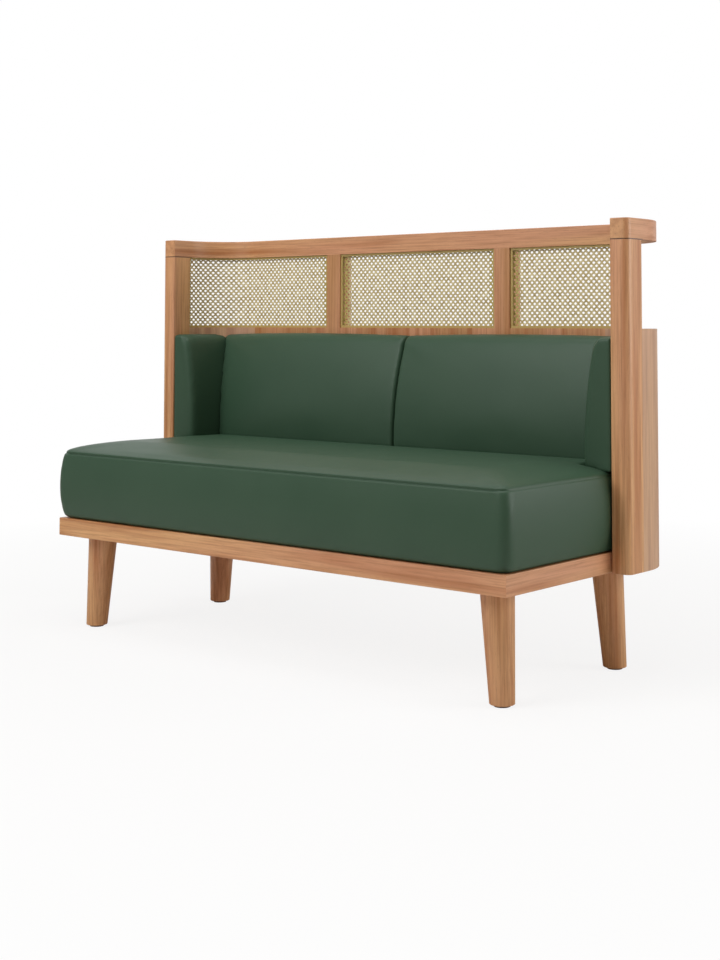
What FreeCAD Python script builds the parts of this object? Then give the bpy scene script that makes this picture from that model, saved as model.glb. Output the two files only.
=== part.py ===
"""Cafe bench with a wooden surround, cane panels and upholstered pads.

X runs along the bench, Y from its front to its back and Z up from the floor.
The origin lies on the floor under the middle of the whole bench.
"""
import FreeCAD, Part
import math
import os
import re
import Sketcher

SIZES = {
    # Whole bench
    "overall_width": 1500.0,
    "overall_depth": 616.0,
    "overall_height": 1000.0,
    # Surround: the wall that runs round both ends and the back
    "wall": 46.0,
    "wall_base": 232.0,
    "wall_top": 758.0,
    "outer_radius": 150.0,
    "inner_radius": 122.0,
    "bend_straight": 7.0,
    "skin": 9.0,
    "batten_height": 40.0,
    "stud_width": 40.0,
    # Posts, mullions and top rail
    "post_depth": 58.0,
    "post_round": 14.0,
    "post_inner_round": 4.0,
    "edge_round": 2.0,
    "rail_height": 46.0,
    "mullion_width": 48.0,
    "centre_opening": 510.0,
    # Cane panels and the beads that hold them
    "cane_setback": 10.0,
    "cane_thickness": 2.0,
    "bead_height": 6.0,
    "bead_depth": 6.0,
    # Platform frame under the seat
    "platform_height": 44.0,
    "platform_gap": 4.0,
    "frame_thickness": 40.0,
    "deck_thickness": 12.0,
    "bearer_width": 40.0,
    "bearer_spacing": 330.0,
    "block_side": 80.0,
    # Legs and floor glides
    "leg_top_radius": 36.0,
    "leg_foot_radius": 26.3,
    "leg_side_inset": 78.3,
    "leg_front_inset": 78.0,
    "leg_rear_inset": 69.6,
    "leg_side_splay": 15.3,
    "leg_end_splay": 5.2,
    "leg_foot_round": 4.0,
    "glide_radius": 17.0,
    "glide_height": 4.0,
    "nail_radius": 1.5,
    "nail_length": 16.0,
    # Bolts that hold the legs
    "leg_bolt_radius": 5.0,
    "leg_bolt_length": 76.0,
    "leg_bolt_grip": 45.0,
    "nut_radius": 9.8,
    "nut_height": 8.0,
    "washer_radius": 12.0,
    "washer_height": 2.0,
    "nut_room": 1.5,
    # Bolts and spacers between platform and surround
    "wall_bolt_radius": 4.0,
    "wall_bolt_length": 72.0,
    "wall_bolt_head_radius": 8.0,
    "wall_bolt_head_height": 5.0,
    "wall_bolt_spacing": 280.0,
    "spacer_radius": 11.0,
    # Dowels and screws
    "dowel_radius": 5.0,
    "dowel_length": 50.0,
    "dowel_edge": 118.0,
    "screw_radius": 2.0,
    "screw_head_radius": 4.0,
    "screw_head_height": 2.5,
    "screw_length": 30.0,
    "screw_inset": 110.0,
    "bore_clearance": 0.2,
    "overrun": 5.0,
    # Seat cushion
    "seat_bulge": 8.0,
    "seat_seam": 440.0,
    "seat_crown": 466.0,
    "seat_corner_radius": 22.0,
    "seat_crown_reach": 120.0,
    "seat_foot_inset": 3.0,
    "seat_board_thickness": 12.0,
    "seat_board_inset": 45.0,
    # Back cushions and wing pads
    "pad_bottom": 447.0,
    "pad_top": 740.0,
    "pad_foot_round": 12.0,
    "back_low_depth": 88.0,
    "back_high_depth": 46.0,
    "back_top_round": 28.0,
    "back_face_radius": 700.0,
    "back_crown": 8.0,
    "back_end_round": 8.0,
    "wing_low_depth": 76.0,
    "wing_high_depth": 54.0,
    "wing_top_round": 28.0,
    "wing_face_radius": 1100.0,
    "wing_end_round": 12.0,
    "cushion_joint": 1.2,
    "soft_gap": 0.3,
    # Boards in the pads and the grip tape behind them
    "pad_board_thickness": 9.0,
    "pad_board_inset": 24.0,
    "wing_board_width": 46.0,
    "tape_thickness": 2.0,
    "tape_width": 50.0,
    "tape_length": 160.0,
}

# Places that several pieces share, as formulas of the sizes above
FRONT = "((seat_bulge - overall_depth)/2)"
BACK = "((seat_bulge + overall_depth)/2)"
SIDE = "(overall_width/2)"
INNER_SIDE = "(overall_width/2 - wall)"
INNER_BACK = f"({BACK} - wall)"
BEND = "(max(wall + inner_radius; outer_radius) + bend_straight)"
POST_BACK = f"({BACK} - {BEND})"
POST_FRONT = f"({POST_BACK} - post_depth)"
BACK_END = f"({SIDE} - {BEND})"
RAIL_BASE = "(overall_height - rail_height)"
PLATFORM_SIDE = "(overall_width/2 - wall - platform_gap)"
PLATFORM_BACK = f"({BACK} - wall - platform_gap)"
PLATFORM_TOP = "(wall_base + platform_height)"
BEND_SIDE = "(overall_width/2 - wall - inner_radius)"
BEND_BACK = f"({BACK} - wall - inner_radius)"
DECK_BASE = f"({PLATFORM_TOP} - deck_thickness)"
NUT_SEAT = f"({DECK_BASE} - nut_height - washer_height - nut_room)"
BOLT_LEVEL = "(wall_base + platform_height/2)"
FRAME_SIDE = f"({PLATFORM_SIDE} - frame_thickness)"
FRAME_FRONT = f"({FRONT} + frame_thickness)"
FRAME_BACK = f"({PLATFORM_BACK} - frame_thickness)"
MULLION_PLACE = "(centre_opening/2 + mullion_width/2)"
SIDES = (("left", -1), ("right", 1))
CLOSE = 0.01

doc = FreeCAD.newDocument("CafeBench")
sizes = doc.addObject("Spreadsheet::Sheet", "Sizes")
for row, (alias, number) in enumerate(SIZES.items(), start=1):
    sizes.set(f"A{row}", alias)
    sizes.set(f"B{row}", str(number))
    sizes.setAlias(f"B{row}", alias)
doc.recompute()

finished = []
drilled = []


def linked(formula):
    """The formula with every size name, but no function, pointing at the sheet."""
    return re.sub(r"\b[a-z]\w*\b(?!\()", lambda word: "Sizes." + word.group(), str(formula))


def value(formula):
    """The number that a formula of sheet sizes gives now."""
    return float(sizes.evalExpression(str(formula)))


def bind(item, **formulas):
    """Bind properties of an object to formulas of the sizes."""
    for name, formula in formulas.items():
        item.setExpression(name, linked(formula))


def move(item, x=0, y=0, z=0):
    """Bind the place of an object."""
    for axis, formula in zip("xyz", (x, y, z)):
        item.setExpression("Placement.Base." + axis, linked(formula))


def finish(item, label):
    """Name an object as one of the bench's sub-parts."""
    item.Label = label
    finished.append(item)
    return item


def origin_plane(body, role):
    """The origin plane of a body that has this role."""
    return next(plane for plane in body.Origin.OriginFeatures if plane.Role == role)


def new_sketch(body, role="XY_Plane", offset=0):
    """A sketch on an origin plane of its own body, moved along the plane's normal."""
    sketch = body.newObject("Sketcher::SketchObject", "Sketch")
    sketch.AttachmentSupport = [(origin_plane(body, role), "")]
    sketch.MapMode = "FlatFace"
    sketch.setExpression("AttachmentOffset.Base.z", linked(offset))
    return sketch


def constrain(sketch, kind, where, formula):
    """Add one sketch dimension and bind it to a formula."""
    index = sketch.addConstraint(Sketcher.Constraint(kind, *where, value(formula)))
    sketch.setExpression(f"Constraints[{index}]", linked(formula))


def draw(sketch, outline):
    """Draw a closed outline.

    Each point is (u, v), or (u, v, radius, turn) where an arc leads to the next point,
    with turn 1 for an arc that turns left and -1 for one that turns right.
    """
    spots = [FreeCAD.Vector(value(point[0]), value(point[1]), 0) for point in outline]
    starts, ends = [], []
    for index, point in enumerate(outline):
        here = spots[index]
        there = spots[(index + 1) % len(spots)]
        if len(point) == 2:
            edge = sketch.addGeometry(Part.LineSegment(here, there), False)
            starts.append((edge, 1))
            ends.append((edge, 2))
            continue
        radius, turn = value(point[2]), point[3]
        chord = there - here
        across = FreeCAD.Vector(-chord.y, chord.x, 0).normalize() * turn
        rise = math.sqrt(max(radius ** 2 - (chord.Length / 2) ** 2, 0))
        centre = here + chord * 0.5 + across * rise
        first, last = (here, there) if turn > 0 else (there, here)
        angles = [math.atan2(spot.y - centre.y, spot.x - centre.x) for spot in (first, last)]
        circle = Part.Circle(centre, FreeCAD.Vector(0, 0, 1), radius)
        edge = sketch.addGeometry(Part.ArcOfCircle(circle, *angles), False)
        starts.append((edge, 1 if turn > 0 else 2))
        ends.append((edge, 2 if turn > 0 else 1))
        constrain(sketch, "Radius", (edge,), point[2])
    for index, point in enumerate(outline):
        sketch.addConstraint(Sketcher.Constraint("Coincident", *ends[index - 1], *starts[index]))
        constrain(sketch, "DistanceX", (-1, 1, *starts[index]), point[0])
        constrain(sketch, "DistanceY", (-1, 1, *starts[index]), point[1])


def prism(label, outline, base, height):
    """A flat-ended piece: a plan outline padded upwards from its base."""
    body = doc.addObject("PartDesign::Body", "Body")
    body.Label = label
    draw(new_sketch(body), outline)
    pad = body.newObject("PartDesign::Pad", "Pad")
    pad.Profile = body.Group[0]
    bind(pad, Length=height)
    move(body, z=base)
    doc.recompute()
    return body


def bore(body, role, centres, radius, start, depth, forward=True):
    """Drill round holes from an offset origin plane, along its axis or against it."""
    sketch = new_sketch(body, role, f"-({start})" if role == "XZ_Plane" else start)
    for across, up in centres:
        spot = FreeCAD.Vector(value(across), value(up), 0)
        circle = Part.Circle(spot, FreeCAD.Vector(0, 0, 1), value(radius))
        edge = sketch.addGeometry(circle, False)
        constrain(sketch, "DistanceX", (-1, 1, edge, 3), across)
        constrain(sketch, "DistanceY", (-1, 1, edge, 3), up)
        constrain(sketch, "Radius", (edge,), radius)
    pocket = body.newObject("PartDesign::Pocket", "Pocket")
    pocket.Profile = sketch
    bind(pocket, Length=depth)
    pocket.Reversed = forward if role != "XZ_Plane" else not forward
    doc.recompute()
    drilled.append(pocket)


def ease(body, wanted, radius="edge_round"):
    """Round the edges of a body whose ends pass a test."""
    base = body.Tip
    names = [f"Edge{number}" for number, edge in enumerate(base.Shape.Edges, start=1) if wanted(edge)]
    fillet = body.newObject("PartDesign::Fillet", "Fillet")
    fillet.Base = (base, names)
    bind(fillet, Radius=radius)
    doc.recompute()


def flat_at(height):
    """A test for edges that lie level at this height."""
    level = value(height)
    return lambda edge: abs(edge.BoundBox.ZMin - level) < CLOSE and abs(edge.BoundBox.ZMax - level) < CLOSE


def mirrored(sign, outline):
    """An outline drawn for the right side, on the side that the sign names."""
    return [(f"{sign}*({point[0]})", *point[1:3], *(sign * turn for turn in point[3:])) for point in outline]


def rectangle(left, right, front, back):
    """The outline of a rectangle in plan."""
    return [(left, front), (right, front), (right, back), (left, back)]


def loft(label, role, sections):
    """A body ruled through outlines, each on its own offset of an origin plane."""
    body = doc.addObject("PartDesign::Body", "Body")
    body.Label = label
    sketches = []
    for offset, outline in sections:
        sketch = new_sketch(body, role, offset)
        draw(sketch, outline)
        sketches.append(sketch)
    solid = body.newObject("PartDesign::AdditiveLoft", "Loft")
    solid.Profile = sketches[0]
    solid.Sections = sketches[1:]
    solid.Ruled = True
    doc.recompute()
    return body


def round_foot(body, foot):
    """Turn a rounding round the foot of a leg, about the upright through the foot's middle."""
    sketch = new_sketch(body, "XZ_Plane", f"-({foot[1]})")
    sketch.setExpression("AttachmentOffset.Base.x", linked(foot[0]))
    reach = "(leg_foot_radius + leg_foot_round/4)"
    draw(sketch, [(f"{reach} - leg_foot_round", "0", "leg_foot_round", 1), (reach, "leg_foot_round"),
                  ("2*leg_top_radius", "leg_foot_round"), ("2*leg_top_radius", "0")])
    groove = body.newObject("PartDesign::Groove", "Groove")
    groove.Profile = sketch
    groove.ReferenceAxis = (sketch, ["V_Axis"])
    doc.recompute()
    drilled.append(groove)


def turned_leg(label, top, foot):
    """A tapered leg on a leaning axis, cut level at both ends and rounded at the foot."""
    body = doc.addObject("PartDesign::Body", "Body")
    body.Label = label
    height, extra = "(wall_base - glide_height)", "(overrun/(wall_base - glide_height))"
    lean = [f"({low} - ({high}))" for high, low in zip(top, foot)]
    cone = body.newObject("PartDesign::AdditiveCone", "Taper")
    bind(cone, Radius1=f"leg_foot_radius - (leg_top_radius - leg_foot_radius)*{extra}",
         Radius2=f"leg_top_radius + (leg_top_radius - leg_foot_radius)*{extra}",
         Height=f"sqrt({height}^2 + leg_side_splay^2 + leg_end_splay^2)*(1 + 2*{extra})")
    axis = FreeCAD.Vector(-value(lean[0]), -value(lean[1]), value(height))
    cone.Placement = FreeCAD.Placement(FreeCAD.Vector(), FreeCAD.Rotation(FreeCAD.Vector(0, 0, 1), axis))
    move(cone, f"{foot[0]} + {lean[0]}*{extra}", f"{foot[1]} + {lean[1]}*{extra}", "-overrun")
    move(body, z="glide_height")
    doc.recompute()
    bore(body, "XY_Plane", [foot], "2*leg_top_radius", "0", "2*overrun", False)
    bore(body, "XY_Plane", [top], "2*leg_top_radius", height, "2*overrun")
    round_foot(body, foot)
    bore(body, "XY_Plane", [top], "leg_bolt_radius + bore_clearance", f"{height} + overrun",
         "leg_bolt_grip + overrun", False)
    bore(body, "XY_Plane", [foot], "nail_radius + bore_clearance", "-overrun", "nail_length + overrun")
    return body


def rod(name, radius, length, x, y, z, axis="Z"):
    """A round bar that starts at a place and runs along an axis, or against it for -X."""
    bar = doc.addObject("Part::Cylinder", name)
    bind(bar, Radius=radius, Height=length)
    turns = {"Z": ((0, 0, 1), 0), "X": ((0, 1, 0), 90), "-X": ((0, 1, 0), -90), "Y": ((1, 0, 0), -90)}
    direction, degrees = turns[axis]
    bar.Placement = FreeCAD.Placement(FreeCAD.Vector(), FreeCAD.Rotation(FreeCAD.Vector(*direction), degrees))
    move(bar, x, y, z)
    return bar


def box(name, left, right, front, back, base, top):
    """A rectangular block between two places on each axis."""
    block = doc.addObject("Part::Box", name)
    bind(block, Length=f"{right} - ({left})", Width=f"{back} - ({front})", Height=f"{top} - ({base})")
    move(block, left, front, base)
    return block


def fuse(name, *members):
    """One solid from overlapping or touching ones."""
    joined = doc.addObject("Part::MultiFuse", name)
    joined.Shapes = list(members)
    return joined


def cut(name, base, tool):
    """The base with the tool taken away."""
    rest = doc.addObject("Part::Cut", name)
    rest.Base = base
    rest.Tool = tool
    return rest


def group(label, members):
    """Like pieces that share one sub-part, each a separate solid."""
    together = doc.addObject("Part::Compound", "Group")
    together.Links = members
    return finish(together, label)


def outer_face(depth):
    """Places of the surround's outside, at a depth in from its face."""
    return (f"({SIDE} - {depth})", f"({SIDE} - outer_radius)", f"({BACK} - outer_radius)",
            f"({BACK} - {depth})", f"(outer_radius - {depth})")


def inner_face(depth):
    """Places of the surround's inside, at a depth in from its face."""
    return (f"({INNER_SIDE} + {depth})", BEND_SIDE, BEND_BACK,
            f"({INNER_BACK} + {depth})", f"(inner_radius + {depth})")


def bend(sign, outside, inside, start=POST_BACK, end=BACK_END, front_round=None):
    """The plan of a layer that runs back from a start, round the corner, to an end."""
    out_x, out_turn_x, out_turn_y, out_y, out_radius = outside
    in_x, in_turn_x, in_turn_y, in_y, in_radius = inside
    points = [(in_x, start), (out_x, start)]
    if front_round:
        points = [(in_x, f"{start} + post_inner_round", "post_inner_round", 1),
                  (f"{in_x} + post_inner_round", start),
                  (f"{out_x} - {front_round}", start, front_round, 1),
                  (out_x, f"{start} + {front_round}")]
    points += [(out_x, out_turn_y, out_radius, 1), (out_turn_x, out_y), (end, out_y), (end, in_y),
               (in_turn_x, in_y, in_radius, -1), (in_x, in_turn_y)]
    return mirrored(sign, points)


def build_platform():
    """Four rails, mitred at the front, with bearers, blocks and the deck they carry."""
    front = prism("front_rail", [
        (f"-{PLATFORM_SIDE}", FRONT), (PLATFORM_SIDE, FRONT),
        (FRAME_SIDE, FRAME_FRONT), (f"-{FRAME_SIDE}", FRAME_FRONT)], "wall_base", "platform_height")
    front_line = value(FRONT)
    ease(front, lambda edge: edge.BoundBox.YMax < front_line + CLOSE and edge.Length > value("block_side"))
    finish(front, "front_rail")
    bolt_hole = "wall_bolt_radius + bore_clearance"
    rear = prism("rear_rail", rectangle(f"-{BEND_SIDE}", BEND_SIDE, FRAME_BACK, PLATFORM_BACK),
                 "wall_base", "platform_height")
    bore(rear, "XZ_Plane", [(place, "platform_height/2") for place in REAR_BOLTS], bolt_hole,
         f"{FRAME_BACK} - overrun", "frame_thickness + 2*overrun")
    finish(rear, "rear_rail")
    for name, sign in SIDES:
        rail = prism(f"{name}_rail", [
            (f"{sign}*{PLATFORM_SIDE}", FRONT), (f"{sign}*{PLATFORM_SIDE}", BEND_BACK),
            (f"{sign}*{FRAME_SIDE}", BEND_BACK), (f"{sign}*{FRAME_SIDE}", FRAME_FRONT)],
            "wall_base", "platform_height")
        bore(rail, "YZ_Plane", [(POST_BOLT, "platform_height/2")], bolt_hole,
             f"{sign}*({FRAME_SIDE} - overrun)", "frame_thickness + 2*overrun", sign > 0)
        side_line = value(PLATFORM_SIDE)
        ease(rail, lambda edge: min(abs(edge.BoundBox.XMin), abs(edge.BoundBox.XMax)) > side_line - CLOSE
             and edge.BoundBox.YLength > value("block_side"))
        finish(rail, f"{name}_rail")
    deck = prism("seat_deck", [
        (f"-{FRAME_SIDE}", FRAME_FRONT), (FRAME_SIDE, FRAME_FRONT), (FRAME_SIDE, BEND_BACK),
        (BEND_SIDE, BEND_BACK), (BEND_SIDE, FRAME_BACK), (f"-{BEND_SIDE}", FRAME_BACK),
        (f"-{BEND_SIDE}", BEND_BACK), (f"-{FRAME_SIDE}", BEND_BACK)], DECK_BASE, "deck_thickness")
    bore(deck, "XY_Plane", DECK_SCREWS, "screw_radius + bore_clearance", "deck_thickness + overrun",
         "deck_thickness + 2*overrun", False)
    bore(deck, "XY_Plane", DECK_SCREWS, "screw_head_radius + bore_clearance", "deck_thickness + overrun",
         "screw_head_height + overrun", False)
    finish(deck, "seat_deck")
    for name, place in BEARERS:
        bearer = prism(name, rectangle(f"{place} - bearer_width/2", f"{place} + bearer_width/2",
                                       FRAME_FRONT, FRAME_BACK), "wall_base", f"{DECK_BASE} - wall_base")
        bore(bearer, "XY_Plane", [screw for screw in DECK_SCREWS if screw[0] == place],
             "screw_radius + bore_clearance", f"{DECK_BASE} - wall_base + overrun",
             "screw_length - deck_thickness + overrun", False)
        finish(bearer, name)
    build_screws()


def build_screws():
    """Screws that hold the deck to its bearers."""
    screws = []
    for x, y in DECK_SCREWS:
        shank = rod("Shank", "screw_radius", "screw_length", x, y,
                    f"{PLATFORM_TOP} - screw_length - bore_clearance")
        head = rod("Head", "screw_head_radius", "screw_head_height", x, y,
                   f"{PLATFORM_TOP} - screw_head_height - bore_clearance")
        screws.append(fuse("Screw", shank, head))
    group("deck_screws", screws)


def build_blocks():
    """Blocks in the four corners that the legs bolt to, the rear ones a quarter round."""
    radius = "(inner_radius - platform_gap)"
    for end, y in (("front", LEG_FRONT), ("rear", LEG_REAR)):
        for name, sign in SIDES:
            if end == "front":
                outline = rectangle(f"{sign}*({FRAME_SIDE} - block_side)", f"{sign}*{FRAME_SIDE}",
                                    FRAME_FRONT, f"{FRAME_FRONT} + block_side")
                height = f"{DECK_BASE} - wall_base"
            else:
                outline = [(f"{sign}*{BEND_SIDE}", BEND_BACK),
                           (f"{sign}*{PLATFORM_SIDE}", BEND_BACK, radius, sign),
                           (f"{sign}*{BEND_SIDE}", PLATFORM_BACK)]
                height = "platform_height"
            block = prism(f"{end}_{name}_block", outline, "wall_base", height)
            centre = [(f"{sign}*{LEG_SIDE}", y)]
            bore(block, "XY_Plane", centre, "leg_bolt_radius + bore_clearance", "-overrun",
                 "platform_height + 2*overrun")
            bore(block, "XY_Plane", centre, "washer_radius + bore_clearance", f"{NUT_SEAT} - wall_base",
                 "platform_height")
            finish(block, f"{end}_{name}_block")


def build_legs():
    """Round legs that taper and splay outwards, with their bolts, nuts and glides."""
    bolts, nuts, glides = [], [], []
    for end, y, way in (("front", LEG_FRONT, -1), ("rear", LEG_REAR, 1)):
        for name, sign in SIDES:
            top = (f"{sign}*{LEG_SIDE}", y)
            foot = (f"{sign}*({LEG_SIDE} + leg_side_splay)", f"{y} + {way}*leg_end_splay")
            finish(turned_leg(f"{end}_{name}_leg", top, foot), f"{end}_{name}_leg")
            bolts.append(rod("Bolt", "leg_bolt_radius", "leg_bolt_length", *top, "wall_base - leg_bolt_grip"))
            nuts.append(leg_nut(top))
            disc = rod("Disc", "glide_radius", "glide_height", *foot, 0)
            nail = rod("Nail", "nail_radius", "nail_length", *foot, 0)
            glides.append(fuse("Glide", disc, nail))
    group("leg_bolts", bolts)
    group("leg_nuts", nuts)
    group("floor_glides", glides)


def leg_nut(top):
    """A six-sided nut on its washer, bored for the leg's bolt."""
    washer = rod("Washer", "washer_radius", "washer_height", *top, NUT_SEAT)
    nut = doc.addObject("Part::Prism", "Nut")
    nut.Polygon = 6
    bind(nut, Circumradius="nut_radius", Height="nut_height")
    move(nut, *top, f"{NUT_SEAT} + washer_height")
    thread = rod("Thread", "leg_bolt_radius + bore_clearance", "nut_height + washer_height + 2*overrun",
                 *top, f"{NUT_SEAT} - overrun")
    return cut("LegNut", fuse("NutBlank", washer, nut), thread)


def build_posts():
    """End posts with a rounded outer front corner, dowelled to the rail and the bends."""
    for name, sign in SIDES:
        inside, outside = INNER_SIDE, SIDE
        points = [(f"{inside} + post_inner_round", POST_FRONT),
                  (f"{outside} - post_round", POST_FRONT, "post_round", 1),
                  (outside, f"{POST_FRONT} + post_round"), (outside, POST_BACK), (inside, POST_BACK),
                  (inside, f"{POST_FRONT} + post_inner_round", "post_inner_round", 1)]
        post = prism(f"{name}_post", mirrored(sign, points), "wall_base", f"{RAIL_BASE} - wall_base")
        bore(post, "XY_Plane", [(f"{sign}*{POST_CENTRE}", POST_BOLT)], DOWEL_HOLE,
             f"{RAIL_BASE} - wall_base + overrun", "dowel_length/2 + overrun", False)
        bore(post, "YZ_Plane", [(POST_BOLT, "platform_height/2")], "wall_bolt_radius + bore_clearance",
             f"{sign}*({inside} - overrun)", "wall_bolt_length - frame_thickness - platform_gap + overrun",
             sign > 0)
        bore(post, "XZ_Plane", [(f"{sign}*{POST_CENTRE}", f"{level} - wall_base") for level in WALL_DOWELS],
             DOWEL_HOLE, f"{POST_BACK} + overrun", "dowel_length/2 + overrun", False)
        finish(post, f"{name}_post")


def build_bends():
    """The two bent corners of the wall below the cane."""
    for name, sign in SIDES:
        corner = prism(f"{name}_corner_wall", bend(sign, outer_face("0"), inner_face("0")),
                       "wall_base", "wall_top - wall_base")
        bore(corner, "XZ_Plane", [(f"{sign}*{POST_CENTRE}", f"{level} - wall_base") for level in WALL_DOWELS],
             DOWEL_HOLE, f"{POST_BACK} - overrun", "dowel_length/2 + overrun")
        bore(corner, "YZ_Plane", [(WALL_MIDDLE, f"{level} - wall_base") for level in BATTEN_LEVELS],
             DOWEL_HOLE, f"{sign}*({BACK_END} - overrun)", "dowel_length/2 + overrun", sign > 0)
        finish(corner, f"{name}_corner_wall")


def build_back_wall():
    """The straight back: two veneered skins on battens and studs."""
    height = "wall_top - wall_base"
    outer = prism("back_outer_skin", rectangle(f"-{BACK_END}", BACK_END, f"{BACK} - skin", BACK),
                  "wall_base", height)
    finish(outer, "back_outer_skin")
    inner = prism("back_inner_skin", rectangle(f"-{BACK_END}", BACK_END, INNER_BACK, f"{INNER_BACK} + skin"),
                  "wall_base", height)
    bore(inner, "XZ_Plane", [(place, "platform_height/2") for place in REAR_BOLTS],
         "wall_bolt_radius + bore_clearance", f"{INNER_BACK} - overrun", "skin + 2*overrun")
    finish(inner, "back_inner_skin")
    front, back = f"({INNER_BACK} + skin)", f"({BACK} - skin)"
    for name, base in (("bottom_batten", "wall_base"), ("top_batten", "wall_top - batten_height")):
        batten = prism(name, rectangle(f"-{BACK_END}", BACK_END, front, back), base, "batten_height")
        for sign in (-1, 1):
            bore(batten, "YZ_Plane", [(WALL_MIDDLE, "batten_height/2")], DOWEL_HOLE,
                 f"{sign}*({BACK_END} + overrun)", "dowel_length/2 + overrun", sign < 0)
        if name == "bottom_batten":
            bore(batten, "XZ_Plane", [(place, "platform_height/2") for place in REAR_BOLTS],
                 "wall_bolt_radius + bore_clearance", f"{front} - overrun",
                 "wall_bolt_length - frame_thickness - platform_gap - skin + overrun")
        else:
            bore(batten, "XY_Plane", [(f"{sign}*{MULLION_PLACE}", WALL_MIDDLE) for sign in (-1, 1)],
                 DOWEL_HOLE, "batten_height + overrun", "dowel_length/2 + overrun", False)
        finish(batten, name)
    studs = [box("Stud", f"{place} - stud_width/2", f"{place} + stud_width/2", front, back,
                 "wall_base + batten_height", "wall_top - batten_height") for place in STUDS]
    group("back_studs", studs)


def build_top_rail():
    """The rail along the top, in three lengths: a straight back and two bent ends."""
    for name, sign in SIDES:
        rail = prism(f"{name}_top_rail", bend(sign, outer_face("0"), inner_face("0"), start=POST_FRONT,
                                              front_round="post_round"), RAIL_BASE, "rail_height")
        joint = value(BACK_END) + CLOSE
        top = flat_at("rail_height")
        ease(rail, lambda edge: top(edge) and max(abs(edge.BoundBox.XMin), abs(edge.BoundBox.XMax)) > joint)
        bore(rail, "XY_Plane", [(f"{sign}*{POST_CENTRE}", POST_BOLT)], DOWEL_HOLE, "-overrun",
             "dowel_length/2 + overrun")
        bore(rail, "YZ_Plane", [(WALL_MIDDLE, "rail_height/2")], DOWEL_HOLE, f"{sign}*({BACK_END} - overrun)",
             "dowel_length/2 + overrun", sign > 0)
        finish(rail, f"{name}_top_rail")
    back = prism("back_top_rail", rectangle(f"-{BACK_END}", BACK_END, INNER_BACK, BACK),
                 RAIL_BASE, "rail_height")
    ease(back, lambda edge: edge.BoundBox.XLength > value("centre_opening")
         and edge.BoundBox.ZMin > value("rail_height") - CLOSE)
    bore(back, "XY_Plane", [(f"{sign}*{MULLION_PLACE}", WALL_MIDDLE) for sign in (-1, 1)], DOWEL_HOLE,
         "-overrun", "dowel_length/2 + overrun")
    for sign in (-1, 1):
        bore(back, "YZ_Plane", [(WALL_MIDDLE, "rail_height/2")], DOWEL_HOLE, f"{sign}*({BACK_END} + overrun)",
             "dowel_length/2 + overrun", sign < 0)
    finish(back, "back_top_rail")


def build_mullions():
    """The two uprights between the cane panels, dowelled at both ends."""
    height = f"({RAIL_BASE} - wall_top)"
    for name, sign in SIDES:
        place = f"{sign}*{MULLION_PLACE}"
        mullion = prism(f"{name}_mullion", rectangle(
            f"{place} - mullion_width/2", f"{place} + mullion_width/2", INNER_BACK, BACK), "wall_top", height)
        ease(mullion, lambda edge: edge.BoundBox.ZLength > value(height) - CLOSE)
        bore(mullion, "XY_Plane", [(place, WALL_MIDDLE)], DOWEL_HOLE, "-overrun", "dowel_length/2 + overrun")
        bore(mullion, "XY_Plane", [(place, WALL_MIDDLE)], DOWEL_HOLE, f"{height} + overrun",
             "dowel_length/2 + overrun", False)
        finish(mullion, f"{name}_mullion")


def build_dowels():
    """Beech dowels in the rail, the mullions and the wall."""
    rail, wall = [], []
    half = "dowel_length/2"
    for name, sign in SIDES:
        rail.append(rod("Dowel", "dowel_radius", "dowel_length", f"{sign}*{POST_CENTRE}", POST_BOLT,
                        f"{RAIL_BASE} - {half}"))
        for level in (RAIL_BASE, "wall_top"):
            rail.append(rod("Dowel", "dowel_radius", "dowel_length", f"{sign}*{MULLION_PLACE}", WALL_MIDDLE,
                            f"{level} - {half}"))
        rail.append(rod("Dowel", "dowel_radius", "dowel_length", f"{sign}*{BACK_END} - {half}", WALL_MIDDLE,
                        f"{RAIL_BASE} + rail_height/2", "X"))
        for level in WALL_DOWELS:
            wall.append(rod("Dowel", "dowel_radius", "dowel_length", f"{sign}*{POST_CENTRE}",
                            f"{POST_BACK} - {half}", level, "Y"))
        for level in BATTEN_LEVELS:
            wall.append(rod("Dowel", "dowel_radius", "dowel_length", f"{sign}*{BACK_END} - {half}",
                            WALL_MIDDLE, level, "X"))
    group("rail_dowels", rail)
    group("wall_dowels", wall)


def open_grid(panel, outlines):
    """Cut rows of plain openings through a cane panel, drawn in plan and repeated upwards."""
    row = f"(({RAIL_BASE} - wall_top)/{CANE_ROWS})"
    sketch = new_sketch(panel, "XY_Plane", f"{row}*{CANE_BAR}")
    for outline in outlines:
        draw(sketch, outline)
    pocket = panel.newObject("PartDesign::Pocket", "Pocket")
    pocket.Profile = sketch
    bind(pocket, Length=f"{row}*{1 - 2 * CANE_BAR}")
    pocket.Reversed = True
    drilled.append(pocket)
    pattern = panel.newObject("PartDesign::LinearPattern", "Rows")
    pattern.Originals = [pocket]
    pattern.Direction = (sketch, ["N_Axis"])
    bind(pattern, Length=f"{row}*{CANE_ROWS - 1}")
    pattern.Occurrences = CANE_ROWS
    panel.Tip = pattern
    doc.recompute()
    drilled.append(pattern)


def straight_openings(start, end, count, front, back):
    """The plan of a row of openings along a straight panel."""
    step = f"(({end} - {start})/{count})"
    return [rectangle(f"({start} + {step}*{place + CANE_BAR})", f"({start} + {step}*{place + 1 - CANE_BAR})",
                      front, back) for place in range(count)]


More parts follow.
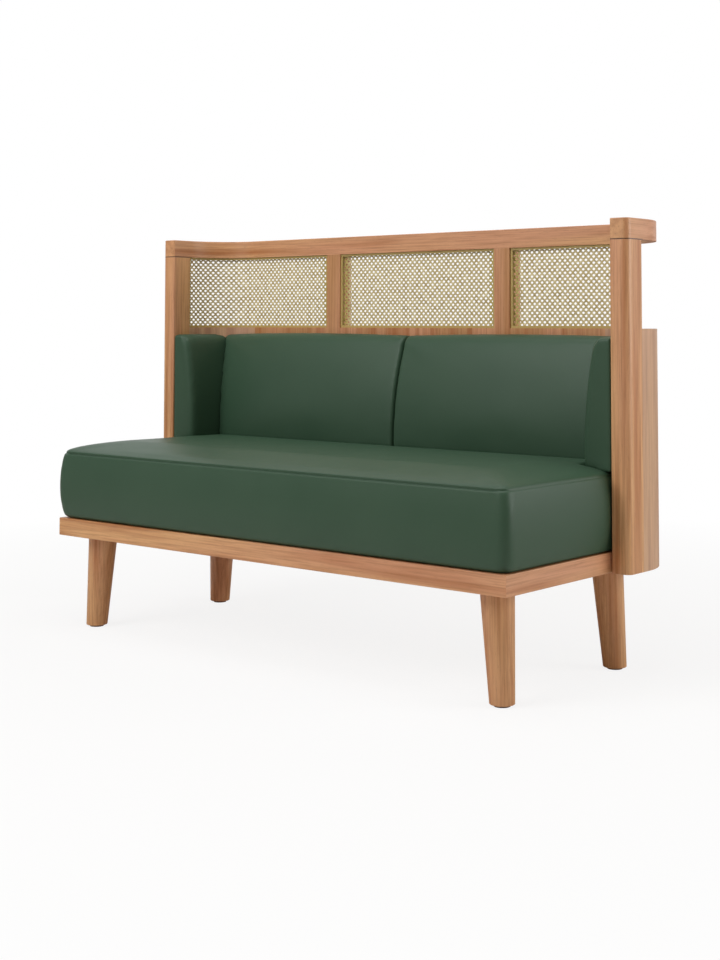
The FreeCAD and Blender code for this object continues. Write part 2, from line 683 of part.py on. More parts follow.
def bend_openings(count):
    """The plan of a row of openings round a right-hand bend, between two upright planes each."""
    near = "(inner_radius + cane_setback - overrun)"
    far = "(inner_radius + cane_setback + cane_thickness + overrun)"
    outlines = []
    for place in range(count):
        first, last = (f"{90 / count * (place + share)}" for share in (CANE_BAR, 1 - CANE_BAR))
        corners = [(f"{BEND_SIDE} + {radius}*sin({angle})", f"{BEND_BACK} + {radius}*cos({angle})")
                   for radius, angle in ((far, last), (far, first), (near, first), (near, last))]
        outlines.append([(*corners[0], far, 1), corners[1], (*corners[2], near, -1), corners[3]])
    return outlines


def build_cane():
    """Three cane panels, two of them bent, each behind a bead round its opening."""
    height = f"({RAIL_BASE} - wall_top)"
    front, back = "(cane_setback - bead_depth)", "cane_setback"
    end = f"({MULLION_PLACE} + mullion_width/2)"
    low, high = "(wall_top + bead_height)", f"({RAIL_BASE} - bead_height)"
    through = (f"({INNER_BACK} + {back} - overrun)", f"({INNER_BACK} + {back} + cane_thickness + overrun)")
    for name, sign in SIDES:
        panel = prism(f"{name}_cane_panel", bend(sign, inner_face("(cane_setback + cane_thickness)"),
                                                 inner_face(back), end=end), "wall_top", height)
        openings = straight_openings(end, BEND_SIDE, CANE_SIDE_COLUMNS, *through)
        openings += bend_openings(CANE_BEND_COLUMNS)
        open_grid(panel, [mirrored(sign, outline) for outline in openings])
        finish(panel, f"{name}_cane_panel")
        strips = [prism("Bead", bend(sign, inner_face(back), inner_face(front), end=end), base, "bead_height")
                  for base in ("wall_top", high)]
        side = (f"({INNER_SIDE} + {front})", f"({INNER_SIDE} + {back})")
        if sign < 0:
            side = (f"-{side[1]}", f"-{side[0]}")
        strips.append(box("Bead", *side, POST_BACK, f"{POST_BACK} + bead_height", low, high))
        across = (end, f"({end} + bead_height)")
        if sign < 0:
            across = (f"-{across[1]}", f"-{across[0]}")
        strips.append(box("Bead", *across, f"({INNER_BACK} + {front})", f"({INNER_BACK} + {back})",
                          low, high))
        group(f"{name}_cane_beads", strips)
    half = "(centre_opening/2)"
    span = (f"({INNER_BACK} + {front})", f"({INNER_BACK} + {back})")
    panel = prism("centre_cane_panel", rectangle(
        f"-{half}", half, span[1], f"({INNER_BACK} + {back} + cane_thickness)"), "wall_top", height)
    open_grid(panel, straight_openings(f"(-{half})", half, CANE_CENTRE_COLUMNS, *through))
    finish(panel, "centre_cane_panel")
    strips = [box("Bead", f"-{half}", half, *span, base, f"({base} + bead_height)")
              for base in ("wall_top", high)]
    strips.append(box("Bead", f"-{half}", f"(bead_height - {half})", *span, low, high))
    strips.append(box("Bead", f"({half} - bead_height)", half, *span, low, high))
    group("centre_cane_beads", strips)


def build_wall_bolts():
    """Bolts from the platform into the surround, each through a spacer in the gap."""
    bolts, spacers = [], []
    for name, sign in SIDES:
        axis = "X" if sign > 0 else "-X"
        shank = rod("Shank", "wall_bolt_radius", "wall_bolt_length", f"{sign}*{FRAME_SIDE}",
                    POST_BOLT, BOLT_LEVEL, axis)
        head = rod("Head", "wall_bolt_head_radius", "wall_bolt_head_height",
                   f"{sign}*({FRAME_SIDE} - wall_bolt_head_height)", POST_BOLT, BOLT_LEVEL, axis)
        bolts.append(fuse("WallBolt", shank, head))
        spacers.append(spacer(f"{sign}*{PLATFORM_SIDE}", POST_BOLT, axis))
    for place in REAR_BOLTS:
        shank = rod("Shank", "wall_bolt_radius", "wall_bolt_length", place, FRAME_BACK, BOLT_LEVEL, "Y")
        head = rod("Head", "wall_bolt_head_radius", "wall_bolt_head_height", place,
                   f"{FRAME_BACK} - wall_bolt_head_height", BOLT_LEVEL, "Y")
        bolts.append(fuse("WallBolt", shank, head))
        spacers.append(spacer(place, PLATFORM_BACK, "Y"))
    group("wall_bolts", bolts)
    group("wall_spacers", spacers)


def spacer(x, y, axis):
    """A ring as thick as the gap between platform and wall."""
    ring = rod("Ring", "spacer_radius", "platform_gap", x, y, BOLT_LEVEL, axis)
    hole = rod("Hole", "wall_bolt_radius + bore_clearance", "platform_gap", x, y, BOLT_LEVEL, axis)
    return cut("Spacer", ring, hole)


def soft_room(name):
    """The space that the soft pieces may fill: all in front of the posts, and between the walls."""
    wide, near = f"({SIDE} + wall)", f"({FRONT} - wall)"
    side, back = f"({INNER_SIDE} - soft_gap)", f"({INNER_BACK} - soft_gap)"
    face = f"({POST_FRONT} - soft_gap)"
    radius = "(inner_radius - soft_gap)"
    outline = [(f"-{wide}", near), (wide, near), (wide, face), (side, face),
               (side, BEND_BACK, radius, 1), (BEND_SIDE, back), (f"-{BEND_SIDE}", back, radius, 1),
               (f"-{side}", BEND_BACK), (f"-{side}", face), (f"-{wide}", face)]
    return prism(name, outline, "wall_base", "overall_height - wall_base")


def within(name, base, room):
    """What two solids have in common."""
    shared = doc.addObject("Part::Common", name)
    shared.Base = base
    shared.Tool = room
    return shared


def build_seat_cushion():
    """One cushion over the whole platform: a bulging border and a crowned top."""
    sections = []
    for inset, rear_inset, level in SEAT_SECTIONS:
        side, front = f"({PLATFORM_SIDE} - ({inset}))", f"({FRONT} + {inset})"
        back = f"({PLATFORM_BACK} - {rear_inset})"
        sections.append((level, [
            (f"seat_corner_radius - {side}", front),
            (f"{side} - seat_corner_radius", front, "seat_corner_radius", 1),
            (side, f"{front} + seat_corner_radius"),
            (side, f"{back} - seat_corner_radius", "seat_corner_radius", 1),
            (f"{side} - seat_corner_radius", back),
            (f"seat_corner_radius - {side}", back, "seat_corner_radius", 1),
            (f"-{side}", f"{back} - seat_corner_radius"),
            (f"-{side}", f"{front} + seat_corner_radius", "seat_corner_radius", 1)]))
    blank = loft("SeatBlank", "XY_Plane", sections)
    fitted = within("SeatFitted", blank, soft_room("SeatRoom"))
    reach = f"({INNER_SIDE} - wing_low_depth - back_crown)"
    depth = f"({INNER_BACK} - back_low_depth - 2*back_crown)"
    wide, far = f"({SIDE} + wall)", f"({BACK} + wall)"
    pressed = prism("SeatPressed", [
        (f"-{wide}", POST_FRONT), (f"-{reach}", POST_FRONT), (f"-{reach}", depth), (reach, depth),
        (reach, POST_FRONT), (wide, POST_FRONT), (wide, far), (f"-{wide}", far)],
        "pad_bottom - soft_gap", "overall_height - pad_bottom")
    hollow = box("SeatHollow", f"-({BOARD_SIDE} + soft_gap)", f"({BOARD_SIDE} + soft_gap)",
                 f"({BOARD_FRONT} - soft_gap)", f"({BOARD_BACK} + soft_gap)", f"({PLATFORM_TOP} - overrun)",
                 f"({PLATFORM_TOP} + seat_board_thickness + soft_gap)")
    finish(cut("SeatCushion", cut("SeatFlattened", fitted, pressed), hollow), "seat_cushion")
    finish(box("SeatBoard", f"-{BOARD_SIDE}", BOARD_SIDE, BOARD_FRONT, BOARD_BACK, PLATFORM_TOP,
               f"({PLATFORM_TOP} + seat_board_thickness)"), "seat_board")


def pad_section(face, way, low, high, top, foot, top_round, face_radius, loss):
    """The upright section of a pad: a leaning, rounded face on a flat back.

    The section stands against a face, reaches out by way, and loses a margin at its ends.
    """
    low_face = f"({face} + {way}*({low} - {loss}))"
    high_face = f"({face} + {way}*({high} - {loss}))"
    crest = f"({top} - {loss}/2)"
    return [(face, foot), (f"{low_face} - {way}*pad_foot_round", foot, "pad_foot_round", way),
            (low_face, f"{foot} + pad_foot_round", face_radius, way),
            (high_face, f"{crest} - {top_round}", top_round, way),
            (f"{high_face} - {way}*{top_round}", crest), (face, crest)]


def build_back_cushions():
    """Two back cushions that meet in the middle, thicker below and crowned along their length."""
    for name, sign in SIDES:
        start, end = "(cushion_joint/2)", f"({INNER_SIDE} - wing_high_depth/2)"
        length = f"({end} - {start})"
        sections = []
        for share, loss in BACK_SECTIONS:
            place = f"{sign}*({start} + {length}*{share[0]} + back_end_round*{share[1]})"
            sections.append((place, pad_section(f"({INNER_BACK} - soft_gap)", -1, "back_low_depth",
                                                "back_high_depth", "pad_top", "pad_bottom", "back_top_round",
                                                "back_face_radius", loss)))
        blank = loft("BackBlank", "YZ_Plane", sections)
        wing = wing_blank("WingTool", sign, "soft_gap")
        trimmed = cut("BackTrimmed", within("BackFitted", blank, soft_room("BackRoom")), wing)
        inner, outer = "pad_board_inset", f"({BACK_END} - pad_board_inset)"
        if sign < 0:
            inner, outer = f"-{outer}", "-pad_board_inset"
        low, high = "(pad_bottom + pad_board_inset)", "(pad_top - pad_board_inset - back_top_round)"
        face = f"({INNER_BACK} - tape_thickness)"
        hollow = box("BackHollow", f"({inner} - soft_gap)", f"({outer} + soft_gap)",
                     f"({face} - pad_board_thickness - soft_gap)", f"({INNER_BACK} + overrun)",
                     f"({low} - soft_gap)", f"({high} + soft_gap)")
        finish(cut("BackCushion", trimmed, hollow), f"{name}_back_cushion")
        finish(box("BackBoard", inner, outer, f"({face} - pad_board_thickness)", face, low, high),
               f"{name}_back_board")


def wing_blank(name, sign, grow):
    """The plain form of a wing pad, from the post's front to the back wall."""
    face, way = f"{sign}*({INNER_SIDE} - soft_gap)", -sign
    sections = []
    for start_share, loss in WING_SECTIONS:
        place = f"({POST_FRONT} + wing_end_round*{start_share})"
        sections.append((f"-{place}", pad_section(
            face, way, f"(wing_low_depth + {grow})", f"(wing_high_depth + {grow})", f"(pad_top + {grow})",
            "pad_bottom", "wing_top_round", "wing_face_radius", loss)))
    sections.append((f"-{INNER_BACK}", sections[-1][1]))
    return loft(name, "XZ_Plane", sections)


def build_wing_pads():
    """Pads on the inside of both ends, rounded at the front and let into the bends."""
    for name, sign in SIDES:
        blank = wing_blank("WingBlank", sign, "0")
        fitted = within("WingFitted", blank, soft_room("WingRoom"))
        face = f"({INNER_SIDE} - tape_thickness)"
        side = (f"({face} - pad_board_thickness)", face)
        grown = (f"({side[0]} - soft_gap)", f"({INNER_SIDE} + overrun)")
        if sign < 0:
            side = (f"-{side[1]}", f"-{side[0]}")
            grown = (f"-{grown[1]}", f"-{grown[0]}")
        near, far = f"({BEND_BACK} - wing_board_width)", BEND_BACK
        low, high = "(pad_bottom + pad_board_inset)", "(pad_top - pad_board_inset - wing_top_round)"
        hollow = box("WingHollow", *grown, f"({near} - soft_gap)", f"({far} + soft_gap)",
                     f"({low} - soft_gap)", f"({high} + soft_gap)")
        finish(cut("WingPad", fitted, hollow), f"{name}_wing_pad")
        finish(box("WingBoard", *side, near, far, low, high), f"{name}_wing_board")


def build_tape():
    """Strips of grip tape between the pads' boards and the wall."""
    strips = []
    middle = "((pad_bottom + pad_top)/2)"
    level = (f"({middle} - tape_length/2)", f"({middle} + tape_length/2)")
    for name, sign in SIDES:
        for share in TAPE_SHARES:
            place = f"({sign}*{BACK_END}*{share})"
            strips.append(box("Tape", f"({place} - tape_width/2)", f"({place} + tape_width/2)",
                              f"({INNER_BACK} - tape_thickness)", INNER_BACK, *level))
        side = (f"({INNER_SIDE} - tape_thickness)", INNER_SIDE)
        if sign < 0:
            side = (f"-{side[1]}", f"-{side[0]}")
        strips.append(box("Tape", *side, f"({BEND_BACK} - wing_board_width)", BEND_BACK, *level))
    group("grip_tapes", strips)


POST_CENTRE = f"({SIDE} - wall/2)"
POST_BOLT = f"({POST_FRONT} + post_depth/2)"
WALL_MIDDLE = f"({BACK} - wall/2)"
DOWEL_HOLE = "(dowel_radius + bore_clearance)"
WALL_DOWELS = ("(wall_base + dowel_edge)", "(wall_top - dowel_edge)")
BATTEN_LEVELS = ("(wall_base + batten_height/2)", "(wall_top - batten_height/2)")
REAR_BOLTS = [f"wall_bolt_spacing*{share}" for share in (-1.5, -0.5, 0.5, 1.5)]
STUDS = (f"-{MULLION_PLACE}", "0", MULLION_PLACE)
BEARERS = (("left_bearer", "-bearer_spacing"), ("centre_bearer", "0"), ("right_bearer", "bearer_spacing"))
DECK_SCREWS = [(place, y) for _, place in BEARERS
               for y in (f"({FRAME_FRONT} + screw_inset)", f"({FRAME_BACK} - screw_inset)")]
LEG_SIDE = f"({PLATFORM_SIDE} - leg_side_inset)"
LEG_FRONT = f"({FRONT} + leg_front_inset)"
LEG_REAR = f"({PLATFORM_BACK} - leg_rear_inset)"
BOARD_SIDE = f"({PLATFORM_SIDE} - seat_board_inset)"
BOARD_FRONT = f"({FRONT} + seat_board_inset)"
BOARD_BACK = f"({BEND_BACK} - soft_gap)"
CANE_ROWS = 5
CANE_CENTRE_COLUMNS = 12
CANE_SIDE_COLUMNS = 6
CANE_BEND_COLUMNS = 5
CANE_BAR = 0.18
BORDER_SHARES = (0.15, 0.3, 0.5, 0.7, 0.85)
CROWN_STEPS = 5
CROWN_SHARES = (0.25, 0.5, 0.75, 1)
END_STEPS = 4
SEAT_HEIGHT = f"(seat_seam - {PLATFORM_TOP})"
CROWN_RISE = "(seat_crown - seat_seam)"
SEAT_SECTIONS = [("seat_foot_inset", "0", PLATFORM_TOP)]
for share in BORDER_SHARES:
    SEAT_SECTIONS.append((f"-seat_bulge*{round(4 * share * (1 - share), 3)}", "0",
                          f"({PLATFORM_TOP} + {SEAT_HEIGHT}*{share})"))
SEAT_SECTIONS.append(("0", "0", "seat_seam"))
for step in range(1, CROWN_STEPS + 1):
    angle = math.pi / 2 * step / CROWN_STEPS
    draw_in, rise = round(1 - math.cos(angle), 3), round(math.sin(angle), 3)
    SEAT_SECTIONS.append((f"seat_crown_reach*{draw_in}", f"(seat_crown_reach/3)*{draw_in}",
                          f"(seat_seam + {CROWN_RISE}*{rise})"))
BACK_SECTIONS, WING_SECTIONS = [], []
for step in range(END_STEPS + 1):
    angle = math.pi / 2 * (step + 0.5) / (END_STEPS + 0.5)
    along, loss = round(1 - math.cos(angle), 3), round(1 - math.sin(angle), 3)
    BACK_SECTIONS.append(((0, along), f"back_end_round*{loss}"))
    WING_SECTIONS.append((along, f"wing_end_round*{loss}"))
for share in CROWN_SHARES:
    BACK_SECTIONS.append(((share, 1 - share), f"-back_crown*{round(4 * share * (1 - share), 3)}"))
TAPE_SHARES = (0.25, 0.75)

build_platform()
build_blocks()
build_legs()
build_posts()
build_bends()
build_back_wall()
build_top_rail()
build_mullions()
build_dowels()
build_cane()
build_wall_bolts()
build_seat_cushion()
build_back_cushions()
build_wing_pads()
build_tape()
doc.recompute()

for item in doc.Objects:
    if "Invalid" in item.State or "Error" in item.State:
        owner = item.getParentGeoFeatureGroup()
        raise RuntimeError(f"{item.Label} of {owner.Label if owner else 'the bench'} did not compute")
for pocket in drilled:
    if pocket.Shape.Volume >= pocket.BaseFeature.Shape.Volume:
        raise RuntimeError(f"{pocket.getParent().Label}: {pocket.Name} cuts nothing")
for item in finished:
    if item.Shape.isNull() or not item.Shape.isValid():
        raise RuntimeError(f"{item.Label} has no valid shape")

os.makedirs("parts", exist_ok=True)
for item in finished:
    item.Shape.exportStep(f"parts/{item.Label}.step")
    print(item.Label, len(item.Shape.Solids), round(item.Shape.Volume / 1000.0, 1))
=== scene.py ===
import math

import bpy
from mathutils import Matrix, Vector


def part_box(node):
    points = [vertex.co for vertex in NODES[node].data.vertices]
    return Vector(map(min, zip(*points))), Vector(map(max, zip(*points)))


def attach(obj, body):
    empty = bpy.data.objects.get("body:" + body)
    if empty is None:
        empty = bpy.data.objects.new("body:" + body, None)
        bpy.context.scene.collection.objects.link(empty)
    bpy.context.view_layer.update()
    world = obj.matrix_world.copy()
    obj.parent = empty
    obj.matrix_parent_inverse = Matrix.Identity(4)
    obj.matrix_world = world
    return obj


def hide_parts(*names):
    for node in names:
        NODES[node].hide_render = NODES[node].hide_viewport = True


bl_info = {
    "name": "Cane back bench",
    "version": (1, 0, 0),
    "blender": (4, 5, 0),
    "location": "View3D > Sidebar > Bench",
    "description": "Finishes, cane and upholstery for a wooden cafe bench",
    "category": "Object",
}

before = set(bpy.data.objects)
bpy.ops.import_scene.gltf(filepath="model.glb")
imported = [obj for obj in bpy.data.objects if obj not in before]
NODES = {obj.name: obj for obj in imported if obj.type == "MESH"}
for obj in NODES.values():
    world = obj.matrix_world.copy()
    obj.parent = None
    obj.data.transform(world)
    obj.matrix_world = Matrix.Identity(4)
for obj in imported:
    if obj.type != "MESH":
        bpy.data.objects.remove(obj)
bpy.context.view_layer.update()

# Fixed places of the wooden surround, in metres: the middle of a bend, to the side and to the back,
# the radius of the cane in it, the underside of the top rail and the back of the posts
BEND_SIDE = 0.582
BEND_BACK = 0.144
CANE_BEND = 0.133
RAIL_BASE = 0.954
POST_BACK = 0.137

# Points nearer to each other than this, in metres, count as one
SAME_POINT = 0.00005


def linear(code):
    """A colour written as an sRGB hex value, as linear red, green and blue."""
    parts = [int(code[start:start + 2], 16) / 255 for start in (0, 2, 4)]
    return tuple(part / 12.92 if part <= 0.04045 else ((part + 0.055) / 1.055) ** 2.4 for part in parts)


class BenchColours(bpy.types.PropertyGroup):
    """Colours of the bench's finishes."""
    timber_light: bpy.props.FloatVectorProperty(
        name="Timber, light bands", description="Colour of the early wood between the grain lines",
        subtype="COLOR", size=3, min=0, max=1, default=linear("D8A775"))
    timber_dark: bpy.props.FloatVectorProperty(
        name="Timber, dark lines", description="Colour of the late wood that draws the grain",
        subtype="COLOR", size=3, min=0, max=1, default=linear("985F33"))
    timber_middle: bpy.props.FloatVectorProperty(
        name="Timber, denser bands", description="Colour of the denser bands of the boards",
        subtype="COLOR", size=3, min=0, max=1, default=linear("A96636"))
    timber_blush: bpy.props.FloatVectorProperty(
        name="Timber, warm patches", description="Pinker tone that drifts along the boards",
        subtype="COLOR", size=3, min=0, max=1, default=linear("D09873"))
    leatherette: bpy.props.FloatVectorProperty(
        name="Leatherette", description="Colour of the upholstery",
        subtype="COLOR", size=3, min=0, max=1, default=linear("334E3B"))
    leatherette_light: bpy.props.FloatVectorProperty(
        name="Leatherette, paler drift", description="Paler tone that drifts over the upholstery",
        subtype="COLOR", size=3, min=0, max=1, default=linear("37513E"))
    cane: bpy.props.FloatVectorProperty(
        name="Cane", description="Colour of the woven cane strands",
        subtype="COLOR", size=3, min=0, max=1, default=linear("DDCFA2"))
    cane_dark: bpy.props.FloatVectorProperty(
        name="Cane, darker strands", description="Darker tone of some strands",
        subtype="COLOR", size=3, min=0, max=1, default=linear("BCA873"))


class BenchCane(bpy.types.PropertyGroup):
    """Sizes of the cane weave."""
    period: bpy.props.FloatProperty(
        name="Hole period", description="Distance between neighbouring holes in a row",
        unit="LENGTH", min=0.008, max=0.03, default=0.0147)
    pair_width: bpy.props.FloatProperty(
        name="Paired strand width", description="Width of one strand of the slanting pairs",
        unit="LENGTH", min=0.0005, max=0.004, default=0.0020)
    single_width: bpy.props.FloatProperty(
        name="Single strand width", description="Width of the level and upright strands",
        unit="LENGTH", min=0.0005, max=0.004, default=0.0018)
    thickness: bpy.props.FloatProperty(
        name="Strand thickness", description="Thickness of every strand",
        unit="LENGTH", min=0.0002, max=0.001, default=0.0005)


class BenchSoft(bpy.types.PropertyGroup):
    """How the padded pieces are filled and sewn."""
    pressure: bpy.props.FloatProperty(
        name="Filling pressure", description="Pressure of the foam on its cover", min=0, max=20, default=4)
    draw_in: bpy.props.FloatProperty(
        name="Cover cut smaller", description="How much smaller the cover is cut than the finished cushion",
        unit="LENGTH", min=0, max=0.02, default=0.001)
    reach: bpy.props.FloatProperty(
        name="Longest swell", description="How far the filling may push a point of the cover",
        unit="LENGTH", min=0, max=0.04, default=0.004)
    seam_half_width: bpy.props.FloatProperty(
        name="Seam half width", description="Half the width of the groove at a seam",
        unit="LENGTH", min=0.0005, max=0.01, default=0.0032)
    seam_depth: bpy.props.FloatProperty(
        name="Seam depth", description="How deep the seam pulls the cover in",
        unit="LENGTH", min=0, max=0.01, default=0.0042)
    seat_corner_round: bpy.props.FloatProperty(
        name="Seat corner rounding", description="Radius of the seat's upright front corners",
        unit="LENGTH", min=0.005, max=0.06, default=0.024)
    seat_rear_round: bpy.props.FloatProperty(
        name="Seat rounding at posts", description="Radius of the seat's side edges in front of the posts",
        unit="LENGTH", min=0.002, max=0.05, default=0.01)
    pad_edge_round: bpy.props.FloatProperty(
        name="Wing pad edge rounding", description="Radius of the wing pads' front edges beside the posts",
        unit="LENGTH", min=0.001, max=0.02, default=0.007)


def add(tree, kind, inputs=None, **settings):
    """Add a shader node with its settings, and its inputs as values, nodes or sockets."""
    made = tree.nodes.new("ShaderNode" + kind)
    for name, value in settings.items():
        setattr(made, name, value)
    for name, value in (inputs or {}).items():
        # A Mix node has a socket of each name for every type of data, and Math numbers its sockets
        named = [socket for socket in made.inputs if socket.enabled and socket.name == name]
        socket = named[0] if named else made.inputs[name]
        if isinstance(value, bpy.types.Node):
            value = next(output for output in value.outputs if output.enabled)
        if isinstance(value, bpy.types.NodeSocket):
            tree.links.new(value, socket)
        elif socket.type == "RGBA":
            socket.default_value = (*value[:3], 1)
        else:
            socket.default_value = value
    return made


def new_material(name):
    """An empty material and its node tree."""
    material = bpy.data.materials.new(name)
    material.use_nodes = True
    material.node_tree.nodes.clear()
    return material, material.node_tree


def grain_vector(tree, grain):
    """A point's place in metres, turned so that X runs along the grain and calm on end faces."""
    inputs = add(tree, "TexCoord").outputs
    place = add(tree, "SeparateXYZ", {"Vector": inputs["Object"]}).outputs
    facing = add(tree, "SeparateXYZ", {"Vector": inputs["Normal"]}).outputs
    if grain == "bend":
        # Where the back rail lies, and how far back the rail's front ends reach, in metres
        rear, front_ends = 0.3, 0.1
        # Round the bends, the grain keeps its distance from the bend's middle
        side = add(tree, "Math", {0: place[0]}, operation="ABSOLUTE")
        beside = add(tree, "Math", {0: side, 1: BEND_SIDE}, operation="SUBTRACT")
        behind = add(tree, "Math", {0: place[1], 1: BEND_BACK}, operation="SUBTRACT")
        beside = add(tree, "Math", {0: beside, 1: 0.0}, operation="MAXIMUM")
        behind = add(tree, "Math", {0: behind, 1: 0.0}, operation="MAXIMUM")
        corner = add(tree, "CombineXYZ", {"X": beside, "Y": behind})
        across = add(tree, "VectorMath", {0: corner}, operation="LENGTH").outputs["Value"]
        up = place[2]
        # Past where a bend begins, the way forward from the back rail counts too
        hand = add(tree, "Math", {0: place[0]}, operation="SIGN")
        turned = add(tree, "Math", {0: beside, 1: 0.0001}, operation="GREATER_THAN")
        depth = add(tree, "Math", {0: rear, 1: place[1]}, operation="SUBTRACT")
        depth = add(tree, "Math", {0: depth, 1: turned}, operation="MULTIPLY")
        along = add(tree, "Math", {0: hand, 1: depth, 2: place[0]}, operation="MULTIPLY_ADD")
        foremost = add(tree, "Math", {0: place[1], 1: front_ends}, operation="LESS_THAN")
        end = add(tree, "Math", {0: facing[1], 1: foremost}, operation="MULTIPLY")
    else:
        along, across, up = [place[axis] for axis in {"X": (0, 1, 2), "Y": (1, 0, 2), "Z": (2, 0, 1)}[grain]]
        end = facing["XYZ".index(grain)]
    # End grain shows wider rings than the long faces
    end = add(tree, "Math", {0: end}, operation="ABSOLUTE")
    calm = add(tree, "MapRange", {"Value": end, "From Min": 0.6, "From Max": 0.9,
                                  "To Min": 1.0, "To Max": 0.2})
    across = add(tree, "Math", {0: across, 1: calm}, operation="MULTIPLY")
    up = add(tree, "Math", {0: up, 1: calm}, operation="MULTIPLY")
    return add(tree, "CombineXYZ", {"X": along, "Y": across, "Z": up})


def joint_line(tree):
    """Share of the dark line where the top rail's ends sit on the posts."""
    half_height = 0.0011
    inputs = add(tree, "TexCoord").outputs
    place = add(tree, "SeparateXYZ", {"Vector": inputs["Object"]}).outputs
    level = add(tree, "Math", {0: place[2], 1: RAIL_BASE, 2: half_height}, operation="COMPARE")
    ahead = add(tree, "Math", {0: place[1], 1: BEND_BACK}, operation="LESS_THAN")
    upward = add(tree, "SeparateXYZ", {"Vector": inputs["Normal"]}).outputs[2]
    tilt = add(tree, "Math", {0: upward}, operation="ABSOLUTE")
    upright = add(tree, "Math", {0: tilt, 1: 0.5}, operation="LESS_THAN")
    line = add(tree, "Math", {0: level, 1: ahead}, operation="MULTIPLY")
    return add(tree, "Math", {0: line, 1: upright}, operation="MULTIPLY")


def lacquered_ash(name, grain, colours, depth=0.0, painted_sheen=0.0):
    """Stained ash, planed and lacquered: straight grain, open pores and a satin sheen.

    Depth is how far the base tone goes from the light tone to the dark one, which on the recessed inner skin
    and mullions is painted shade; the last number is a share of grey, a painted sheen of the white
    surroundings.
    """
    material, tree = new_material(name)
    vector = grain_vector(tree, grain)
    # Scale along, across and up the board, per metre, and detail
    scales = {
        # Growth rings on a straight board lie 3 to 6 mm apart
        "rings": ((6, 230, 230), 4.0),
        # Denser and paler bands are about 20 mm wide and half a metre long
        "bands": ((1.8, 42, 42), 2.0),
        # Warm patches are as large as a hand
        "patches": ((1.2, 10, 10), 1.0),
        # Pores are 0.3 mm wide, and are drawn 0.8 mm wide so that they show
        "pores": ((45, 1250, 1250), 2.0),
    }
    noise = {}
    for kind, (scale, detail) in scales.items():
        scaled = add(tree, "Mapping", {"Vector": vector, "Scale": scale})
        noise[kind] = add(tree, "TexNoise", {"Vector": scaled, "Scale": 1.0, "Detail": detail,
                                             "Roughness": 0.55})
    # The base tone, darkened by depth: on the recessed inner skin and mullions this is painted shade under
    # the rail
    wood = add(tree, "Mix", {"Factor": depth, "A": colours.timber_light, "B": colours.timber_dark},
               data_type="RGBA")
    # Kind, the noise where its tone begins and where it is full, the tone's largest share and the tone
    for kind, low, high, most, tone in (
            ("patches", 0.4, 0.62, 1.0, colours.timber_blush),
            ("bands", 0.46, 0.68, 0.8, colours.timber_middle),
            ("rings", 0.42, 0.74, 0.6, colours.timber_dark),
            ("pores", 0.6, 0.74, 0.4, linear("5E3517"))):
        share = add(tree, "MapRange", {"Value": noise[kind], "From Min": low, "From Max": high,
                                       "To Max": most})
        wood = add(tree, "Mix", {"Factor": share, "A": wood, "B": tone}, data_type="RGBA")
    # Painted sheen: a share of pale grey stands in for the white surroundings mirrored on the outer walls
    wood = add(tree, "Mix", {"Factor": painted_sheen, "A": wood, "B": linear("AD9E93")}, data_type="RGBA")
    wood = add(tree, "Mix", {"Factor": joint_line(tree), "A": wood, "B": linear("3A2010")}, data_type="RGBA")
    height = add(tree, "Math", {0: noise["rings"], 1: noise["pores"]}, operation="SUBTRACT")
    relief = add(tree, "Bump", {"Height": height, "Strength": 0.15, "Distance": 0.0004})
    # The dense late wood takes up less lacquer, and is duller
    sheen = add(tree, "MapRange", {"Value": noise["rings"], "From Min": 0.2, "From Max": 0.8,
                                   "To Min": 0.34, "To Max": 0.48})
    add(tree, "OutputMaterial", {"Surface": add(tree, "BsdfPrincipled", {
        "Base Color": wood, "Roughness": sheen, "IOR": 1.52, "Normal": relief})})
    return material


def birch_plywood():
    """Birch plywood, sanded and bare: pale, calm and matt."""
    material, tree = new_material("birch_plywood_sanded")
    # The figure of peeled birch is about 12 mm wide
    scaled = add(tree, "Mapping", {"Vector": grain_vector(tree, "X"), "Scale": (3, 80, 80)})
    figure = add(tree, "TexNoise", {"Vector": scaled, "Scale": 1.0, "Detail": 3.0})
    share = add(tree, "MapRange", {"Value": figure, "From Min": 0.35, "From Max": 0.65})
    wood = add(tree, "Mix", {"Factor": share, "A": linear("D9BE93"), "B": linear("C6A577")}, data_type="RGBA")
    relief = add(tree, "Bump", {"Height": figure, "Strength": 0.1, "Distance": 0.0004})
    add(tree, "OutputMaterial", {"Surface": add(tree, "BsdfPrincipled", {
        "Base Color": wood, "Roughness": 0.62, "Normal": relief})})
    return material


def zinc_plated_steel():
    """Steel, zinc plated in a bath: bright, with a faint mottle."""
    material, tree = new_material("zinc_plated_steel")
    # The mottle of the bath is about 2.5 mm across
    mottle = add(tree, "TexNoise", {"Vector": add(tree, "TexCoord").outputs["Object"], "Scale": 400.0,
                                    "Detail": 2.0})
    metal = add(tree, "Mix", {"Factor": mottle, "A": linear("B9BCBE"), "B": linear("9C9F9F")},
                data_type="RGBA")
    dull = add(tree, "MapRange", {"Value": mottle, "From Min": 0.3, "From Max": 0.7,
                                  "To Min": 0.26, "To Max": 0.4})
    add(tree, "OutputMaterial", {"Surface": add(tree, "BsdfPrincipled", {
        "Base Color": metal, "Metallic": 1.0, "Roughness": dull})})
    return material


def moulded_nylon():
    """Nylon, moulded in a textured tool: brown and dull, with a slightly pebbled skin."""
    material, tree = new_material("moulded_nylon")
    # The pebbles are 0.6 mm across
    pebbles = add(tree, "TexNoise", {"Vector": add(tree, "TexCoord").outputs["Object"], "Scale": 1500.0,
                                     "Detail": 1.0})
    colour = add(tree, "Mix", {"Factor": pebbles, "A": linear("6E4A31"), "B": linear("7C563A")},
                 data_type="RGBA")
    relief = add(tree, "Bump", {"Height": pebbles, "Strength": 0.1, "Distance": 0.0002})
    add(tree, "OutputMaterial", {"Surface": add(tree, "BsdfPrincipled", {
        "Base Color": colour, "Roughness": 0.5, "IOR": 1.53, "Normal": relief})})
    return material


